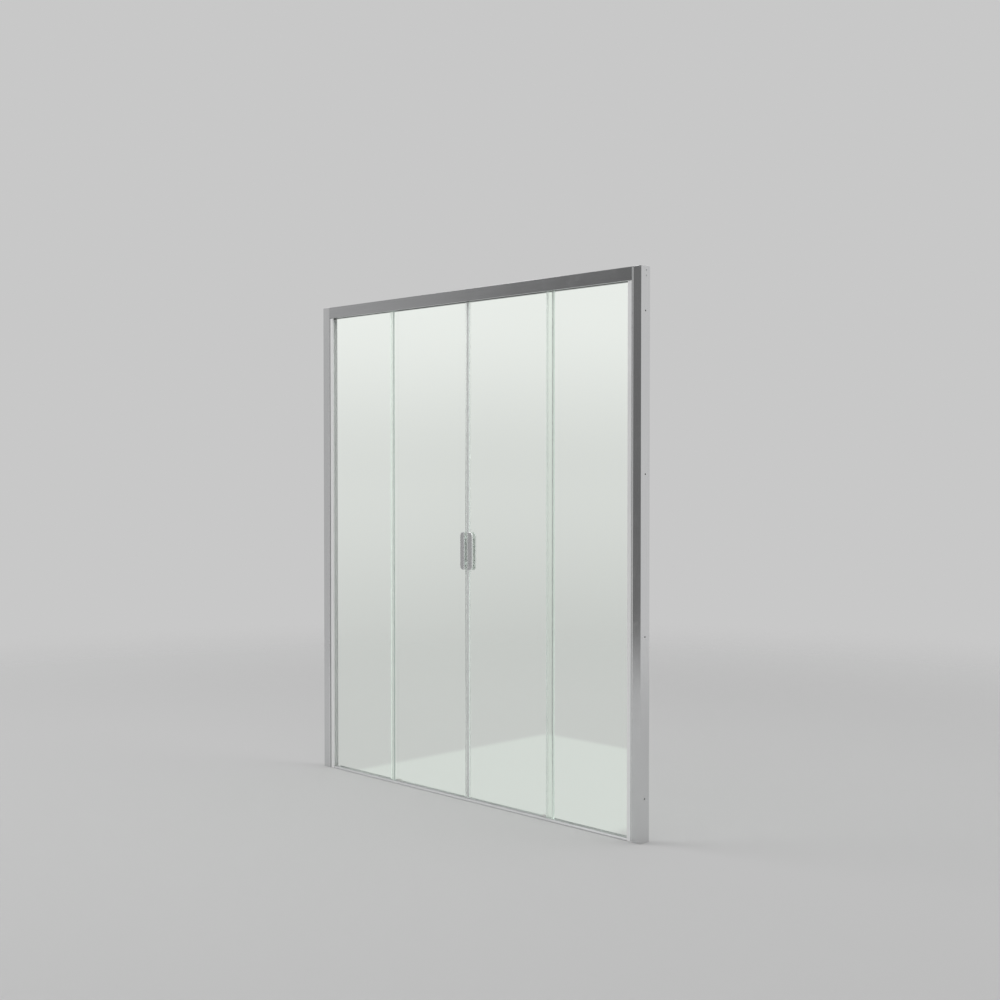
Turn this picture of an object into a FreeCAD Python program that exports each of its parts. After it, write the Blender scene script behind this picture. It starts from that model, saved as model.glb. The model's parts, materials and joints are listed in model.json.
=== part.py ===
import FreeCAD, Part
import os
import re
import Sketcher

# Sliding shower screen for an alcove: two fixed glass panels at the sides and two glass doors
# that meet in the middle and roll behind them. X runs along the screen, -Y is the room side,
# +Y the shower side, +Z up. The origin is the middle of the screen's underside. The right-hand
# pieces are drawn, and the left-hand ones are their mirror images.

os.makedirs("parts", exist_ok=True)
doc = FreeCAD.newDocument("ShowerScreen")
sheet = doc.addObject("Spreadsheet::Sheet", "Sizes")

# Driving sizes in millimetres: alias, value, meaning
SIZES = [
    # Whole screen
    ("ScreenWidth", 1750, "between the two walls"),
    ("ScreenHeight", 1950, "underside of the sill to top of the rail"),
    ("FrameDepth", 46, "front face to back face of the rail and the wall profiles"),
    ("SlipPlay", 0.3, "play between pieces that slide in or past one another"),
    ("FitPlay", 0.1, "play of a screw in a clearance hole"),
    # Wall profile
    ("WallProfileWidth", 41, "wall to free edge of the wall profile"),
    ("WallProfileWall", 2, "sheet thickness of the wall profile"),
    ("WallProfileRound", 1.6, "rounding of its visible edges"),
    ("WallScrewInset", 150, "ends of the wall profile to the nearest wall screw hole"),
    ("WallScrewRadius", 2.75, "radius of a wall screw hole"),
    # Cap of the wall profile
    ("CapThickness", 2, "plate of the top cap"),
    ("CapPlugDepth", 10, "depth of the cap's legs"),
    ("CapPlugWall", 1.7, "thickness of the cap's legs"),
    ("CapRound", 0.8, "rounding of the cap's top edges"),
    # Adjuster profile
    ("AdjusterShow", 20, "width of the adjuster profile that shows"),
    ("AdjusterWall", 1.5, "sheet thickness of the adjuster profile"),
    ("AdjusterTail", 13, "wall to the ends of its flanges"),
    ("AdjusterPocketBack", 28, "wall to the back of its glass pocket"),
    ("AdjusterRearLip", 13, "set-back of its rear lip behind its nose"),
    ("AdjusterRearShow", 2, "rear flange's distance from the wall profile's free edge"),
    ("AdjusterScrewInset", 20, "wall to the locking screws"),
    ("AdjusterScrewEndInset", 225, "ends of the wall profile to the nearest locking screw"),
    ("AdjusterTopGap", 0.5, "adjuster profile to rail"),
    # Glass
    ("GlassThickness", 6, "toughened glass"),
    ("GlassChamfer", 0.5, "ground edges"),
    ("FixedGlassSetback", 10, "frame's front face to the fixed glass"),
    ("FixedGlassEdge", 426, "centre line to the free edge of the fixed glass"),
    ("FixedGlassEntry", 24, "fixed glass inside the adjuster profile"),
    ("FixedGlassTopEntry", 11, "fixed glass inside the rail"),
    ("GlassGap", 6, "fixed glass to door glass"),
    ("GasketThickness", 1.5, "gaskets between glass and metal"),
    ("GasketBead", 0.5, "how far a gasket stands back from the metal's edge"),
    ("DoorGlassGap", 6, "centre line to the meeting edge of a door glass"),
    ("DoorOverlap", 27, "door glass behind the fixed glass when closed"),
    ("DoorFloorGap", 6, "underside of the sill to the door glass"),
    ("DoorTopEntry", 37, "door glass inside the rail"),
    ("GlassHoleRadius", 6, "holes for bolts in the door glass"),
    # Rail
    ("RailHeight", 46, "height of the rail"),
    ("RailWall", 2, "outer walls of the rail"),
    ("RailWeb", 1.5, "inner walls of the rail"),
    ("RailEndGap", 1, "rail end to wall profile"),
    ("RailRound", 1, "rounding of the rail's front edges"),
    ("ChannelDepth", 13, "depth of the glazing channel"),
    ("TrackLip", 12, "rail's back face to the inner edge of the track"),
    ("BeadSetback", 8.5, "rail's back face to the middle of the track bead"),
    ("BeadRise", 6, "rail's underside to the top of the track bead"),
    ("BeadRadius", 1.5, "half width of the track bead"),
    # Rail bracket
    ("BracketThickness", 4, "flat bar of the bracket"),
    ("BracketWidth", 24, "width of the bracket"),
    ("BracketBack", 16, "middle of the frame to the bracket's back edge"),
    ("BracketTongue", 21, "tongue inside the rail"),
    ("BracketDrop", 39, "length of the leg at the wall"),
    ("BracketRound", 3, "inner bend of the bracket"),
    ("BracketScrewInset", 11, "rail end to the tongue's screws"),
    ("BracketScrewDistance", 16, "between the tongue's screws"),
    ("BracketLegScrewDistance", 18, "between the leg's screws"),
    ("BracketLegScrewDrop", 14, "rail's top to the upper leg screw"),
    # Countersunk screws
    ("ScrewRadius", 2, "shank of the small countersunk screws"),
    ("ScrewHeadRadius", 3.5, "head of the small countersunk screws"),
    ("ScrewHeadDepth", 1.5, "height of the countersunk head"),
    ("AdjusterScrewLength", 8, "locking screw"),
    ("BracketScrewLength", 7, "screw through the wall profile's web"),
    ("RailScrewLength", 6.3, "screw through the rail's roof"),
    ("GuideScrewLength", 3.8, "screw of the door guide"),
    # Seals
    ("SealWall", 1.2, "wall of the clip-on seals"),
    ("SealGrip", 8, "grip of the clip-on seals on the glass"),
    ("SealEndGap", 0.6, "seal ends to sill and rail"),
    ("FinWall", 0.8, "thickness of a sealing fin"),
    ("FinRoot", 0.5, "fin root behind the glass edge"),
    ("FinLean", 3, "sideways lean of the fixed edge's fin"),
    ("RearFinLean", 2, "sideways lean of the door's fin"),
    ("MeetGap", 0.4, "centre line to the face of a magnetic seal"),
    ("MagnetWall", 0.9, "walls of the magnet's chamber"),
    ("MagnetPlay", 0.2, "play of the magnet strip in its chamber"),
    # Sill
    ("SillHeight", 8, "height of the sill"),
    ("SillWall", 1.5, "floor and legs of the sill"),
    ("SillFrontSetback", 2, "frame's front face to the sill's front"),
    ("SillFrontToe", 2.5, "upright part of the sill's front"),
    ("SillFrontTop", 2.5, "width of the sill's front crest"),
    ("SillRearSetback", 3, "frame's back face to the sill's back"),
    ("SillRearRise", 5, "height of the sill's back lip"),
    ("SillEndGap", 0.5, "sill end to adjuster profile"),
    ("BlockLength", 30, "setting block"),
    ("BlockInset", 60, "glass edge to the nearer end of a setting block"),
    ("BlockPlay", 0.5, "setting block to the channel's legs"),
    ("BlockThickness", 1.5, "height of a setting block"),
    ("LipSealFoot", 2, "underside of the sill to the lip seal's foot"),
    ("LipSealWall", 1, "thickness of the lip seal's strip"),
    ("LipSealBend", 5.4, "underside of the sill to the lip's bend"),
    ("LipSealTop", 7, "underside of the sill to the strip's top"),
    ("LipSealTipLow", 6.9, "underside of the sill to the lip's tip, below"),
    ("LipSealTipHigh", 7.7, "underside of the sill to the lip's tip, above"),
    ("LipSealGuideGap", 2, "lip seal's end to the door guide"),
    # Door guide
    ("GuideWidth", 26, "length of the guide along the sill"),
    ("GuideInset", 2, "free edge of the fixed glass to the guide"),
    ("GuideHeight", 13, "underside of the sill to the guide's top"),
    ("GuideSlotFloor", 4.5, "underside of the sill to the slot's floor"),
    ("GuidePlay", 0.35, "play of the glass in the slot, each side"),
    ("GuideCheek", 2.35, "front cheek of the guide"),
    ("GuideRearCheek", 3.15, "rear cheek of the guide"),
    ("GuideFoot", 9, "foot behind the rear cheek"),
    ("GuideFootTop", 4, "underside of the sill to the foot's top"),
    ("GuideScrewSetback", 10, "frame's back face to the guide's screw"),
    # Roller carriage
    ("CarriageInset", 60, "door glass edge to the carriage's middle"),
    ("CarriageHalf", 32, "half length of the carriage"),
    ("CarriageThickness", 3.5, "plate of the carriage"),
    ("CarriageGlassGap", 1, "glass to carriage plate"),
    ("CarriageLow", 7, "rail's underside to the plate's lower edge"),
    ("CarriageShoulderLow", 12, "rail's underside to the ends' lower corners"),
    ("CarriageShoulderHigh", 39, "rail's underside to the ends' upper corners"),
    ("CarriageTop", 42.5, "rail's underside to the plate's upper edge"),
    ("CarriageLowTaper", 5, "lower corner cut"),
    ("CarriageHighTaper", 4, "upper corner cut"),
    ("BossRadius", 3.6, "boss that carries the bearing's inner ring"),
    ("BossLength", 2.5, "length of the boss"),
    ("ClampDistance", 44, "between the two clamp bolts of a carriage"),
    ("ClampRise", 21, "rail's underside to the clamp bolts"),
    ("ClampBoltRadius", 3, "shank of a clamp bolt"),
    ("ClampHeadRadius", 7, "flat head of a clamp bolt"),
    ("ClampHeadThickness", 1.8, "height of the flat head"),
    ("BushPlay", 0.2, "bush in the glass hole"),
    ("BushFlangeRadius", 8, "flange of a glass bush, under the clamp bolt's head"),
    ("BushFlangeThickness", 1, "thickness of that flange"),
    ("CarriagePadRadius", 8.5, "raised pads of the carriage on the glass"),
    # Wheel, bearing and axle
    ("WheelRadius", 12, "wheel over its flanges"),
    ("WheelHalfWidth", 4, "half width of the wheel"),
    ("GrooveDepth", 1.5, "depth of the running groove"),
    ("GrooveHalf", 2.2, "half width of the running groove's mouth"),
    ("GrooveFloorHalf", 1.2, "half width of the running groove's floor"),
    ("WheelLift", 0.25, "play between wheel and track bead"),
    ("BearingRadius", 6.5, "outside of the bearing"),
    ("BearingPlay", 0.05, "running play of wheel and bearing"),
    ("BearingHalfWidth", 2.5, "half width of the bearing"),
    ("AxleRadius", 2.5, "shoulder of the axle"),
    ("AxleHeadRadius", 4, "head of the axle"),
    ("AxleHeadThickness", 2.5, "height of the axle's head"),
    # Stops
    ("StopLength", 12, "stop block along the rail"),
    ("StopDepth", 8, "stop block across the rail"),
    ("StopHeight", 12, "height of a stop block"),
    ("StopRoofGap", 0.1, "stop block to the rail's roof"),
    ("BufferLength", 3, "rubber buffer"),
    ("BufferRadius", 3.4, "rubber buffer"),
    ("BufferDrop", 8.5, "rail's roof to the buffer's middle"),
    ("OpeningStopGap", 1.7, "opening stop to the bracket's tongue"),
    # Handle
    ("HandleGap", 12, "centre line to the handle"),
    ("HandleWidth", 20.5, "width of the handle"),
    ("HandleLength", 145, "height of the handle"),
    ("HandleCentre", 955, "underside of the sill to the handle's middle"),
    ("HandleThickness", 7, "thickness of each half"),
    ("HandleStandoff", 3.5, "handle half to glass"),
    ("HandleCorner", 15, "outer corners of the handle"),
    ("HandleRound", 1.5, "rounding of the handle's front edges"),
    ("HandleScrewDistance", 100, "between the handle's screws"),
    ("HandleScrewRadius", 2.5, "shank of a handle screw"),
    ("HandleHeadRadius", 4.5, "head of a handle screw"),
    ("HandleHeadDepth", 2, "height of a handle screw's head"),
    ("HandleThreadDepth", 5, "blind hole in the outer half"),
    ("HandleThreadSpare", 0.5, "unused depth of the blind hole"),
    ("HandleBushRadius", 7, "flange of a handle bush and pads of the inner half"),
]

for row, (alias, value, meaning) in enumerate(SIZES, 1):
    sheet.set(f"A{row}", alias)
    sheet.set(f"B{row}", str(value))
    sheet.set(f"C{row}", meaning)
    sheet.setAlias(f"B{row}", alias)
doc.recompute()

WORDS = re.compile(r"\b(" + "|".join(alias for alias, value, meaning in SIZES) + r")\b")


def sized(text):
    """A formula in the sheet's words, as an expression that any object can hold."""
    return WORDS.sub(r"Sizes.\1", text)


def number(text):
    """The formula's value."""
    return float(sheet.evalExpression(sized(text)))


def bind(thing, path, text):
    """Tie a property to a formula in the sheet's words."""
    thing.setExpression(path, sized(text))


# Places that several pieces share
FRONT = "(-FrameDepth / 2)"
BACK = "(FrameDepth / 2)"
WALL = "(ScreenWidth / 2)"
PROFILE_EDGE = "(ScreenWidth / 2 - WallProfileWidth)"
NOSE = f"({PROFILE_EDGE} - AdjusterShow)"
FIXED_FRONT = f"({FRONT} + FixedGlassSetback)"
FIXED_BACK = f"({FIXED_FRONT} + GlassThickness)"
DOOR_FRONT = f"({FIXED_BACK} + GlassGap)"
DOOR_BACK = f"({DOOR_FRONT} + GlassThickness)"
DOOR_EDGE = "(FixedGlassEdge + DoorOverlap)"
CHANNEL_FRONT = f"({FIXED_FRONT} - GasketThickness)"
CHANNEL_BACK = f"({FIXED_BACK} + GasketThickness)"
UNDER_RAIL = "(ScreenHeight - RailHeight)"
RAIL_END = f"({PROFILE_EDGE} - RailEndGap)"
GLASS_FOOT = "(SillWall + BlockThickness)"
GLASS_TOP = f"({UNDER_RAIL} + FixedGlassTopEntry)"
SEAL_FOOT = "(SillHeight + SealEndGap)"
SEAL_HEIGHT = f"({UNDER_RAIL} - SillHeight - 2 * SealEndGap)"
BEAD_Y = f"({BACK} - BeadSetback)"
AXLE_Z = f"({UNDER_RAIL} + BeadRise + WheelRadius - GrooveDepth + WheelLift)"
CARRIAGE_FRONT = f"({DOOR_BACK} + CarriageGlassGap)"
CARRIAGE_BACK = f"({CARRIAGE_FRONT} + CarriageThickness)"
CLAMP_Z = f"({UNDER_RAIL} + ClampRise)"
INNER_CARRIAGE = "(DoorGlassGap + CarriageInset)"
OUTER_CARRIAGE = f"({DOOR_EDGE} - CarriageInset)"
GUIDE_EDGE = "(FixedGlassEdge - GuideInset)"
GUIDE_START = f"({GUIDE_EDGE} - GuideWidth)"
STOP_Y = f"({CARRIAGE_FRONT} + StopDepth / 2)"
CLOSING_STOP = f"({INNER_CARRIAGE} - CarriageHalf - SlipPlay - BufferLength - StopLength / 2)"
TONGUE_END = f"({RAIL_END} - BracketTongue)"
OPENING_STOP = f"({TONGUE_END} - OpeningStopGap - StopLength / 2)"
HANDLE_MIDDLE = "(HandleGap + HandleWidth / 2)"
HANDLE_LOW_SCREW = "(HandleCentre - HandleScrewDistance / 2)"

LOCK_SCREW_X = f"({WALL} - AdjusterScrewInset)"
LOCK_SCREW_HEIGHTS = [
    "AdjusterScrewEndInset",
    "ScreenHeight / 2",
    "ScreenHeight - AdjusterScrewEndInset",
]
WALL_SCREW_HEIGHTS = [
    "WallScrewInset",
    "(ScreenHeight + WallScrewInset) / 3",
    "(2 * ScreenHeight - WallScrewInset) / 3",
    "ScreenHeight - WallScrewInset",
]
LEG_SCREW_HEIGHTS = [
    "ScreenHeight - BracketLegScrewDrop - BracketLegScrewDistance",
    "ScreenHeight - BracketLegScrewDrop",
]
BRACKET_Y = "(BracketBack - BracketWidth / 2)"
TONGUE_SCREW_X = f"({RAIL_END} - BracketScrewInset)"

SAME_PLACE = 0.01  # millimetres within which two places in the model count as one

nodes = []


def new_body(name, x="0", y="0", z="0"):
    """An empty body, placed by formulas."""
    body = doc.addObject("PartDesign::Body", name)
    body.Label = name
    for axis, place in (("x", x), ("y", y), ("z", z)):
        if place != "0":
            bind(body, f"Placement.Base.{axis}", place)
    return body


def node(thing):
    """Mark an object as a finished sub-part."""
    nodes.append(thing)
    return thing


def new_sketch(body, role, offset="0"):
    """A sketch on one of the body's own planes, moved along the plane's normal."""
    sketch = body.newObject("Sketcher::SketchObject", f"{body.Name}_sketch")
    plane = next(item for item in body.Origin.OriginFeatures if item.Role == role)
    sketch.AttachmentSupport = (plane, [""])
    sketch.MapMode = "FlatFace"
    if offset != "0":
        bind(sketch, "AttachmentOffset.Base.z", offset)
    return sketch


def hold(sketch, geometry, position, x, y):
    """Fix one point of a sketch by two formulas."""
    for kind, place in (("DistanceX", x), ("DistanceY", y)):
        link = Sketcher.Constraint(kind, -1, 1, geometry, position, number(place))
        index = sketch.addConstraint(link)
        bind(sketch, f"Constraints[{index}]", place)


def draw_outline(sketch, corners, arcs=None):
    """A closed outline. arcs maps the index of a side to its radius and its turn: a side that
    turns left has its centre on the left of the way from its first corner to its second. A
    half circle is held by its centre's height, the third item, in place of its radius."""
    arcs = arcs or {}
    ends = []
    for index, (x, y) in enumerate(corners):
        next_x, next_y = corners[(index + 1) % len(corners)]
        start = FreeCAD.Vector(number(x), number(y), 0)
        end = FreeCAD.Vector(number(next_x), number(next_y), 0)
        if index not in arcs:
            side = sketch.addGeometry(Part.LineSegment(start, end))
            ends.append((side, 1, 2))
            continue
        radius, turn, *level = arcs[index]
        first, last = (start, end) if turn == "left" else (end, start)
        chord = last - first
        reach = number(radius) ** 2 - (chord.Length / 2) ** 2
        across = FreeCAD.Vector(-chord.y, chord.x, 0).normalize()
        centre = (first + last) / 2 + across * max(reach, 0) ** 0.5
        circle = Part.Circle(centre, FreeCAD.Vector(0, 0, 1), number(radius))
        arc = Part.ArcOfCircle(circle, circle.parameter(first), circle.parameter(last))
        side = sketch.addGeometry(arc)
        ends.append((side, 1, 2) if turn == "left" else (side, 2, 1))
        if level:
            link = Sketcher.Constraint("DistanceY", -1, 1, side, 3, number(level[0]))
        else:
            link = Sketcher.Constraint("Radius", side, number(radius))
        bind(sketch, f"Constraints[{sketch.addConstraint(link)}]", level[0] if level else radius)
    for (side, first, last), (next_side, next_first, next_last) in zip(ends, ends[1:] + ends[:1]):
        sketch.addConstraint(Sketcher.Constraint("Coincident", side, last, next_side, next_first))
    for (side, first, last), (x, y) in zip(ends, corners):
        hold(sketch, side, first, x, y)
    return sketch


def draw_box(sketch, left, low, right, high):
    """A rectangle between two corners."""
    return draw_outline(sketch, [(left, low), (right, low), (right, high), (left, high)])


def draw_circle(sketch, x, y, radius):
    """A circle about a point."""
    middle = FreeCAD.Vector(number(x), number(y), 0)
    side = sketch.addGeometry(Part.Circle(middle, FreeCAD.Vector(0, 0, 1), number(radius)))
    hold(sketch, side, 3, x, y)
    index = sketch.addConstraint(Sketcher.Constraint("Radius", side, number(radius)))
    bind(sketch, f"Constraints[{index}]", radius)
    return sketch


def pad(body, sketch, length, side="One side", back=False):
    """Material from the sketch along its normal, or the other way."""
    feature = body.newObject("PartDesign::Pad", f"{body.Name}_pad")
    feature.Profile = sketch
    feature.SideType = side
    feature.Reversed = back
    bind(feature, "Length", length)
    doc.recompute()
    return feature


def pocket(body, sketch, depth=None, back=False):
    """A cut from the sketch against its normal, or the other way: to a depth, or right through."""
    before = body.Shape.Volume
    feature = body.newObject("PartDesign::Pocket", f"{body.Name}_pocket")
    feature.Profile = sketch
    feature.Reversed = back
    if depth:
        bind(feature, "Length", depth)
    else:
        feature.Type = "ThroughAll"
    doc.recompute()
    if body.Shape.Volume >= before:
        raise RuntimeError(f"{feature.Name} cuts nothing")
    return feature


def revolve(body, sketch, axis="V_Axis"):
    """The sketch turned once about one of its own axes."""
    feature = body.newObject("PartDesign::Revolution", f"{body.Name}_turned")
    feature.Profile = sketch
    feature.ReferenceAxis = (sketch, [axis])
    doc.recompute()
    return feature


def repeat(body, feature, role, length, count):
    """Copies of a feature in a row over a length."""
    pattern = body.newObject("PartDesign::LinearPattern", f"{body.Name}_row")
    pattern.Originals = [feature]
    axis = next(item for item in body.Origin.OriginFeatures if item.Role == role)
    pattern.Direction = (axis, [""])
    bind(pattern, "Length", length)
    pattern.Occurrences = count
    body.Tip = pattern
    doc.recompute()
    return pattern


def edges_of(feature, test):
    """The names of the feature's edges that pass a test."""
    return [f"Edge{index}" for index, edge in enumerate(feature.Shape.Edges, 1) if test(edge)]


def edges_along(feature, axis, places):
    """Straight edges along an axis, "x", "y" or "z", at places across it."""
    others = [name for name in "xyz" if name != axis]
    spots = [(number(first), number(second)) for first, second in places]

    def test(edge):
        if edge.Curve.TypeId != "Part::GeomLine":
            return False
        middle = edge.CenterOfMass
        run = edge.Vertexes[-1].Point - edge.Vertexes[0].Point
        if run.Length - abs(getattr(run, axis)) > SAME_PLACE:
            return False
        here = [getattr(middle, name) for name in others]
        return any(abs(here[0] - a) + abs(here[1] - b) < SAME_PLACE for a, b in spots)

    return edges_of(feature, test)


def round_edges(body, feature, names, radius):
    """A fillet on named edges."""
    rounds = body.newObject("PartDesign::Fillet", f"{body.Name}_rounds")
    rounds.Base = (feature, names)
    bind(rounds, "Radius", radius)
    doc.recompute()
    return rounds


def bevel_edges(body, feature, names, size):
    """A chamfer on named edges."""
    bevels = body.newObject("PartDesign::Chamfer", f"{body.Name}_bevels")
    bevels.Base = (feature, names)
    bind(bevels, "Size", size)
    doc.recompute()
    return bevels


def circles_at(feature, axis, place, radius=None):
    """The names of whole circles that lie in a plane square to an axis, of one radius or any."""
    level = number(place)

    def test(edge):
        if edge.Curve.TypeId != "Part::GeomCircle" or not edge.isClosed():
            return False
        if radius and abs(edge.Curve.Radius - number(radius)) > SAME_PLACE:
            return False
        return abs(getattr(edge.CenterOfMass, axis) - level) < SAME_PLACE

    return edges_of(feature, test)


def mirror(source, name):
    """The left-hand piece of a right-hand one."""
    image = doc.addObject("Part::Mirroring", name)
    image.Label = name
    image.Source = source
    image.Normal = (1, 0, 0)
    return image


def both_hands(source, stem):
    """The right-hand piece and its mirror image, as two sub-parts."""
    node(source)
    return node(mirror(source, f"{stem}_left"))


def group(name, members):
    """Like pieces that share one sub-part."""
    bundle = doc.addObject("Part::Compound", name)
    bundle.Label = name
    bundle.Links = members
    return node(bundle)


def group_both_hands(name, members):
    """Like pieces and their mirror images, as one sub-part."""
    images = [mirror(member, f"{member.Name}_image") for member in members]
    return group(name, list(members) + images)


def turned(name, corners, x="0", y="0", z="0", role="XY_Plane", axis="V_Axis", arcs=None):
    """A body turned from one half section."""
    body = new_body(name, x, y, z)
    sketch = draw_outline(new_sketch(body, role), corners, arcs)
    revolve(body, sketch, axis)
    return body


def countersunk_screw(name, length, x, y, z, way):
    """A countersunk screw whose head's face is at a point and whose shank points along "way"."""
    depth = [
        ("0", "0"),
        ("ScrewHeadRadius", "0"),
        ("ScrewRadius", "-ScrewHeadDepth"),
        ("ScrewRadius", f"-{length}"),
        ("0", f"-{length}"),
    ]
    if way == "-x":
        corners = [(along, across) for across, along in reversed(depth)]
        return turned(name, corners, x, y, z, axis="H_Axis")
    role = "XY_Plane" if way == "-y" else "XZ_Plane"
    return turned(name, depth, x, y, z, role=role)


def wall_profile():
    """U extrusion against the wall, open towards the glass."""
    body = new_body("wall_profile_right")
    inner_back = f"{BACK} - WallProfileWall"
    inner_front = f"{FRONT} + WallProfileWall"
    web = f"{WALL} - WallProfileWall"
    section = [
        (PROFILE_EDGE, FRONT),
        (WALL, FRONT),
        (WALL, BACK),
        (PROFILE_EDGE, BACK),
        (PROFILE_EDGE, inner_back),
        (web, inner_back),
        (web, inner_front),
        (PROFILE_EDGE, inner_front),
    ]
    bar = pad(body, draw_outline(new_sketch(body, "XY_Plane"), section), "ScreenHeight - CapThickness")
    visible = edges_along(bar, "z", [(PROFILE_EDGE, FRONT), (PROFILE_EDGE, BACK)])
    round_edges(body, bar, visible, "WallProfileRound")
    holes = new_sketch(body, "YZ_Plane")
    for height in WALL_SCREW_HEIGHTS:
        draw_circle(holes, "0", height, "WallScrewRadius")
    pocket(body, holes, back=True)
    bracket_holes = new_sketch(body, "YZ_Plane")
    for height in LEG_SCREW_HEIGHTS:
        draw_circle(bracket_holes, BRACKET_Y, height, "ScrewRadius + FitPlay")
    pocket(body, bracket_holes, back=True)
    lock_holes = new_sketch(body, "XZ_Plane", f"-{BACK}")
    for height in LOCK_SCREW_HEIGHTS:
        draw_circle(lock_holes, LOCK_SCREW_X, height, "ScrewRadius + FitPlay")
    cut = pocket(body, lock_holes, "WallProfileWall", back=True)
    mouths = circles_at(cut, "y", BACK) + circles_at(cut, "x", WALL, "ScrewRadius + FitPlay")
    bevel_edges(body, cut, mouths, "ScrewHeadRadius - ScrewRadius")
    both_hands(body, "wall_profile")


def profile_cap():
    """Plate that closes the top of a wall profile, with two legs that plug into it."""
    body = new_body("profile_cap_right")
    top = "ScreenHeight - CapThickness"
    plate = draw_box(new_sketch(body, "XY_Plane", top), PROFILE_EDGE, FRONT, WALL, BACK)
    cap = pad(body, plate, "CapThickness")
    rim = edges_along(cap, "x", [(FRONT, "ScreenHeight"), (BACK, "ScreenHeight")])
    round_edges(body, cap, rim, "CapRound")
    legs = new_sketch(body, "XY_Plane", top)
    start = f"{PROFILE_EDGE} + SlipPlay"
    end = f"{WALL} - WallProfileWall - SlipPlay"
    front_leg = f"{FRONT} + WallProfileWall + SlipPlay"
    back_leg = f"{BACK} - WallProfileWall - SlipPlay"
    draw_box(legs, start, front_leg, end, f"{front_leg} + CapPlugWall")
    draw_box(legs, start, f"{back_leg} - CapPlugWall", end, back_leg)
    pad(body, legs, "CapPlugDepth", back=True)
    both_hands(body, "profile_cap")


def adjuster_profile():
    """Extrusion that slides in the wall profile and holds the fixed glass in a pocket."""
    body = new_body("adjuster_profile_right")
    tail = f"{WALL} - AdjusterTail"
    pocket_back = f"{WALL} - AdjusterPocketBack"
    pocket_inner = f"{pocket_back} - AdjusterWall"
    outer_front = f"{FRONT} + WallProfileWall + SlipPlay"
    outer_back = f"{BACK} - WallProfileWall - SlipPlay"
    rear_lip = f"{NOSE} + AdjusterRearLip"
    rear_start = f"{PROFILE_EDGE} + AdjusterRearShow"
    section = [
        (NOSE, outer_front),
        (tail, outer_front),
        (tail, f"{outer_front} + AdjusterWall"),
        (f"{NOSE} + AdjusterWall", f"{outer_front} + AdjusterWall"),
        (f"{NOSE} + AdjusterWall", f"{CHANNEL_FRONT} - AdjusterWall"),
        (pocket_back, f"{CHANNEL_FRONT} - AdjusterWall"),
        (pocket_back, f"{outer_back} - AdjusterWall"),
        (tail, f"{outer_back} - AdjusterWall"),
        (tail, outer_back),
        (rear_start, outer_back),
        (rear_start, f"{outer_back} - AdjusterWall"),
        (pocket_inner, f"{outer_back} - AdjusterWall"),
        (pocket_inner, f"{CHANNEL_BACK} + AdjusterWall"),
        (rear_lip, f"{CHANNEL_BACK} + AdjusterWall"),
        (rear_lip, CHANNEL_BACK),
        (pocket_inner, CHANNEL_BACK),
        (pocket_inner, CHANNEL_FRONT),
        (NOSE, CHANNEL_FRONT),
    ]
    height = f"{UNDER_RAIL} - AdjusterTopGap"
    pad(body, draw_outline(new_sketch(body, "XY_Plane"), section), height)
    lock_holes = new_sketch(body, "XZ_Plane", f"-({outer_back})")
    for height in LOCK_SCREW_HEIGHTS:
        draw_circle(lock_holes, LOCK_SCREW_X, height, "ScrewRadius")
    pocket(body, lock_holes, "AdjusterWall", back=True)
    both_hands(body, "adjuster_profile")


def glazing_gasket():
    """Gasket around the glass edge in the adjuster's pocket."""
    body = new_body("glazing_gasket_right", z=GLASS_FOOT)
    edge = f"{NOSE} + FixedGlassEntry"
    back = f"{edge} + GasketThickness"
    front_start = f"{NOSE} + GasketBead"
    rear_start = f"{NOSE} + AdjusterRearLip + GasketBead"
    section = [
        (front_start, CHANNEL_FRONT),
        (back, CHANNEL_FRONT),
        (back, CHANNEL_BACK),
        (rear_start, CHANNEL_BACK),
        (rear_start, FIXED_BACK),
        (edge, FIXED_BACK),
        (edge, FIXED_FRONT),
        (front_start, FIXED_FRONT),
    ]
    height = f"{UNDER_RAIL} - AdjusterTopGap - {GLASS_FOOT} - GasketBead"
    pad(body, draw_outline(new_sketch(body, "XY_Plane"), section), height)
    both_hands(body, "glazing_gasket")


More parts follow.
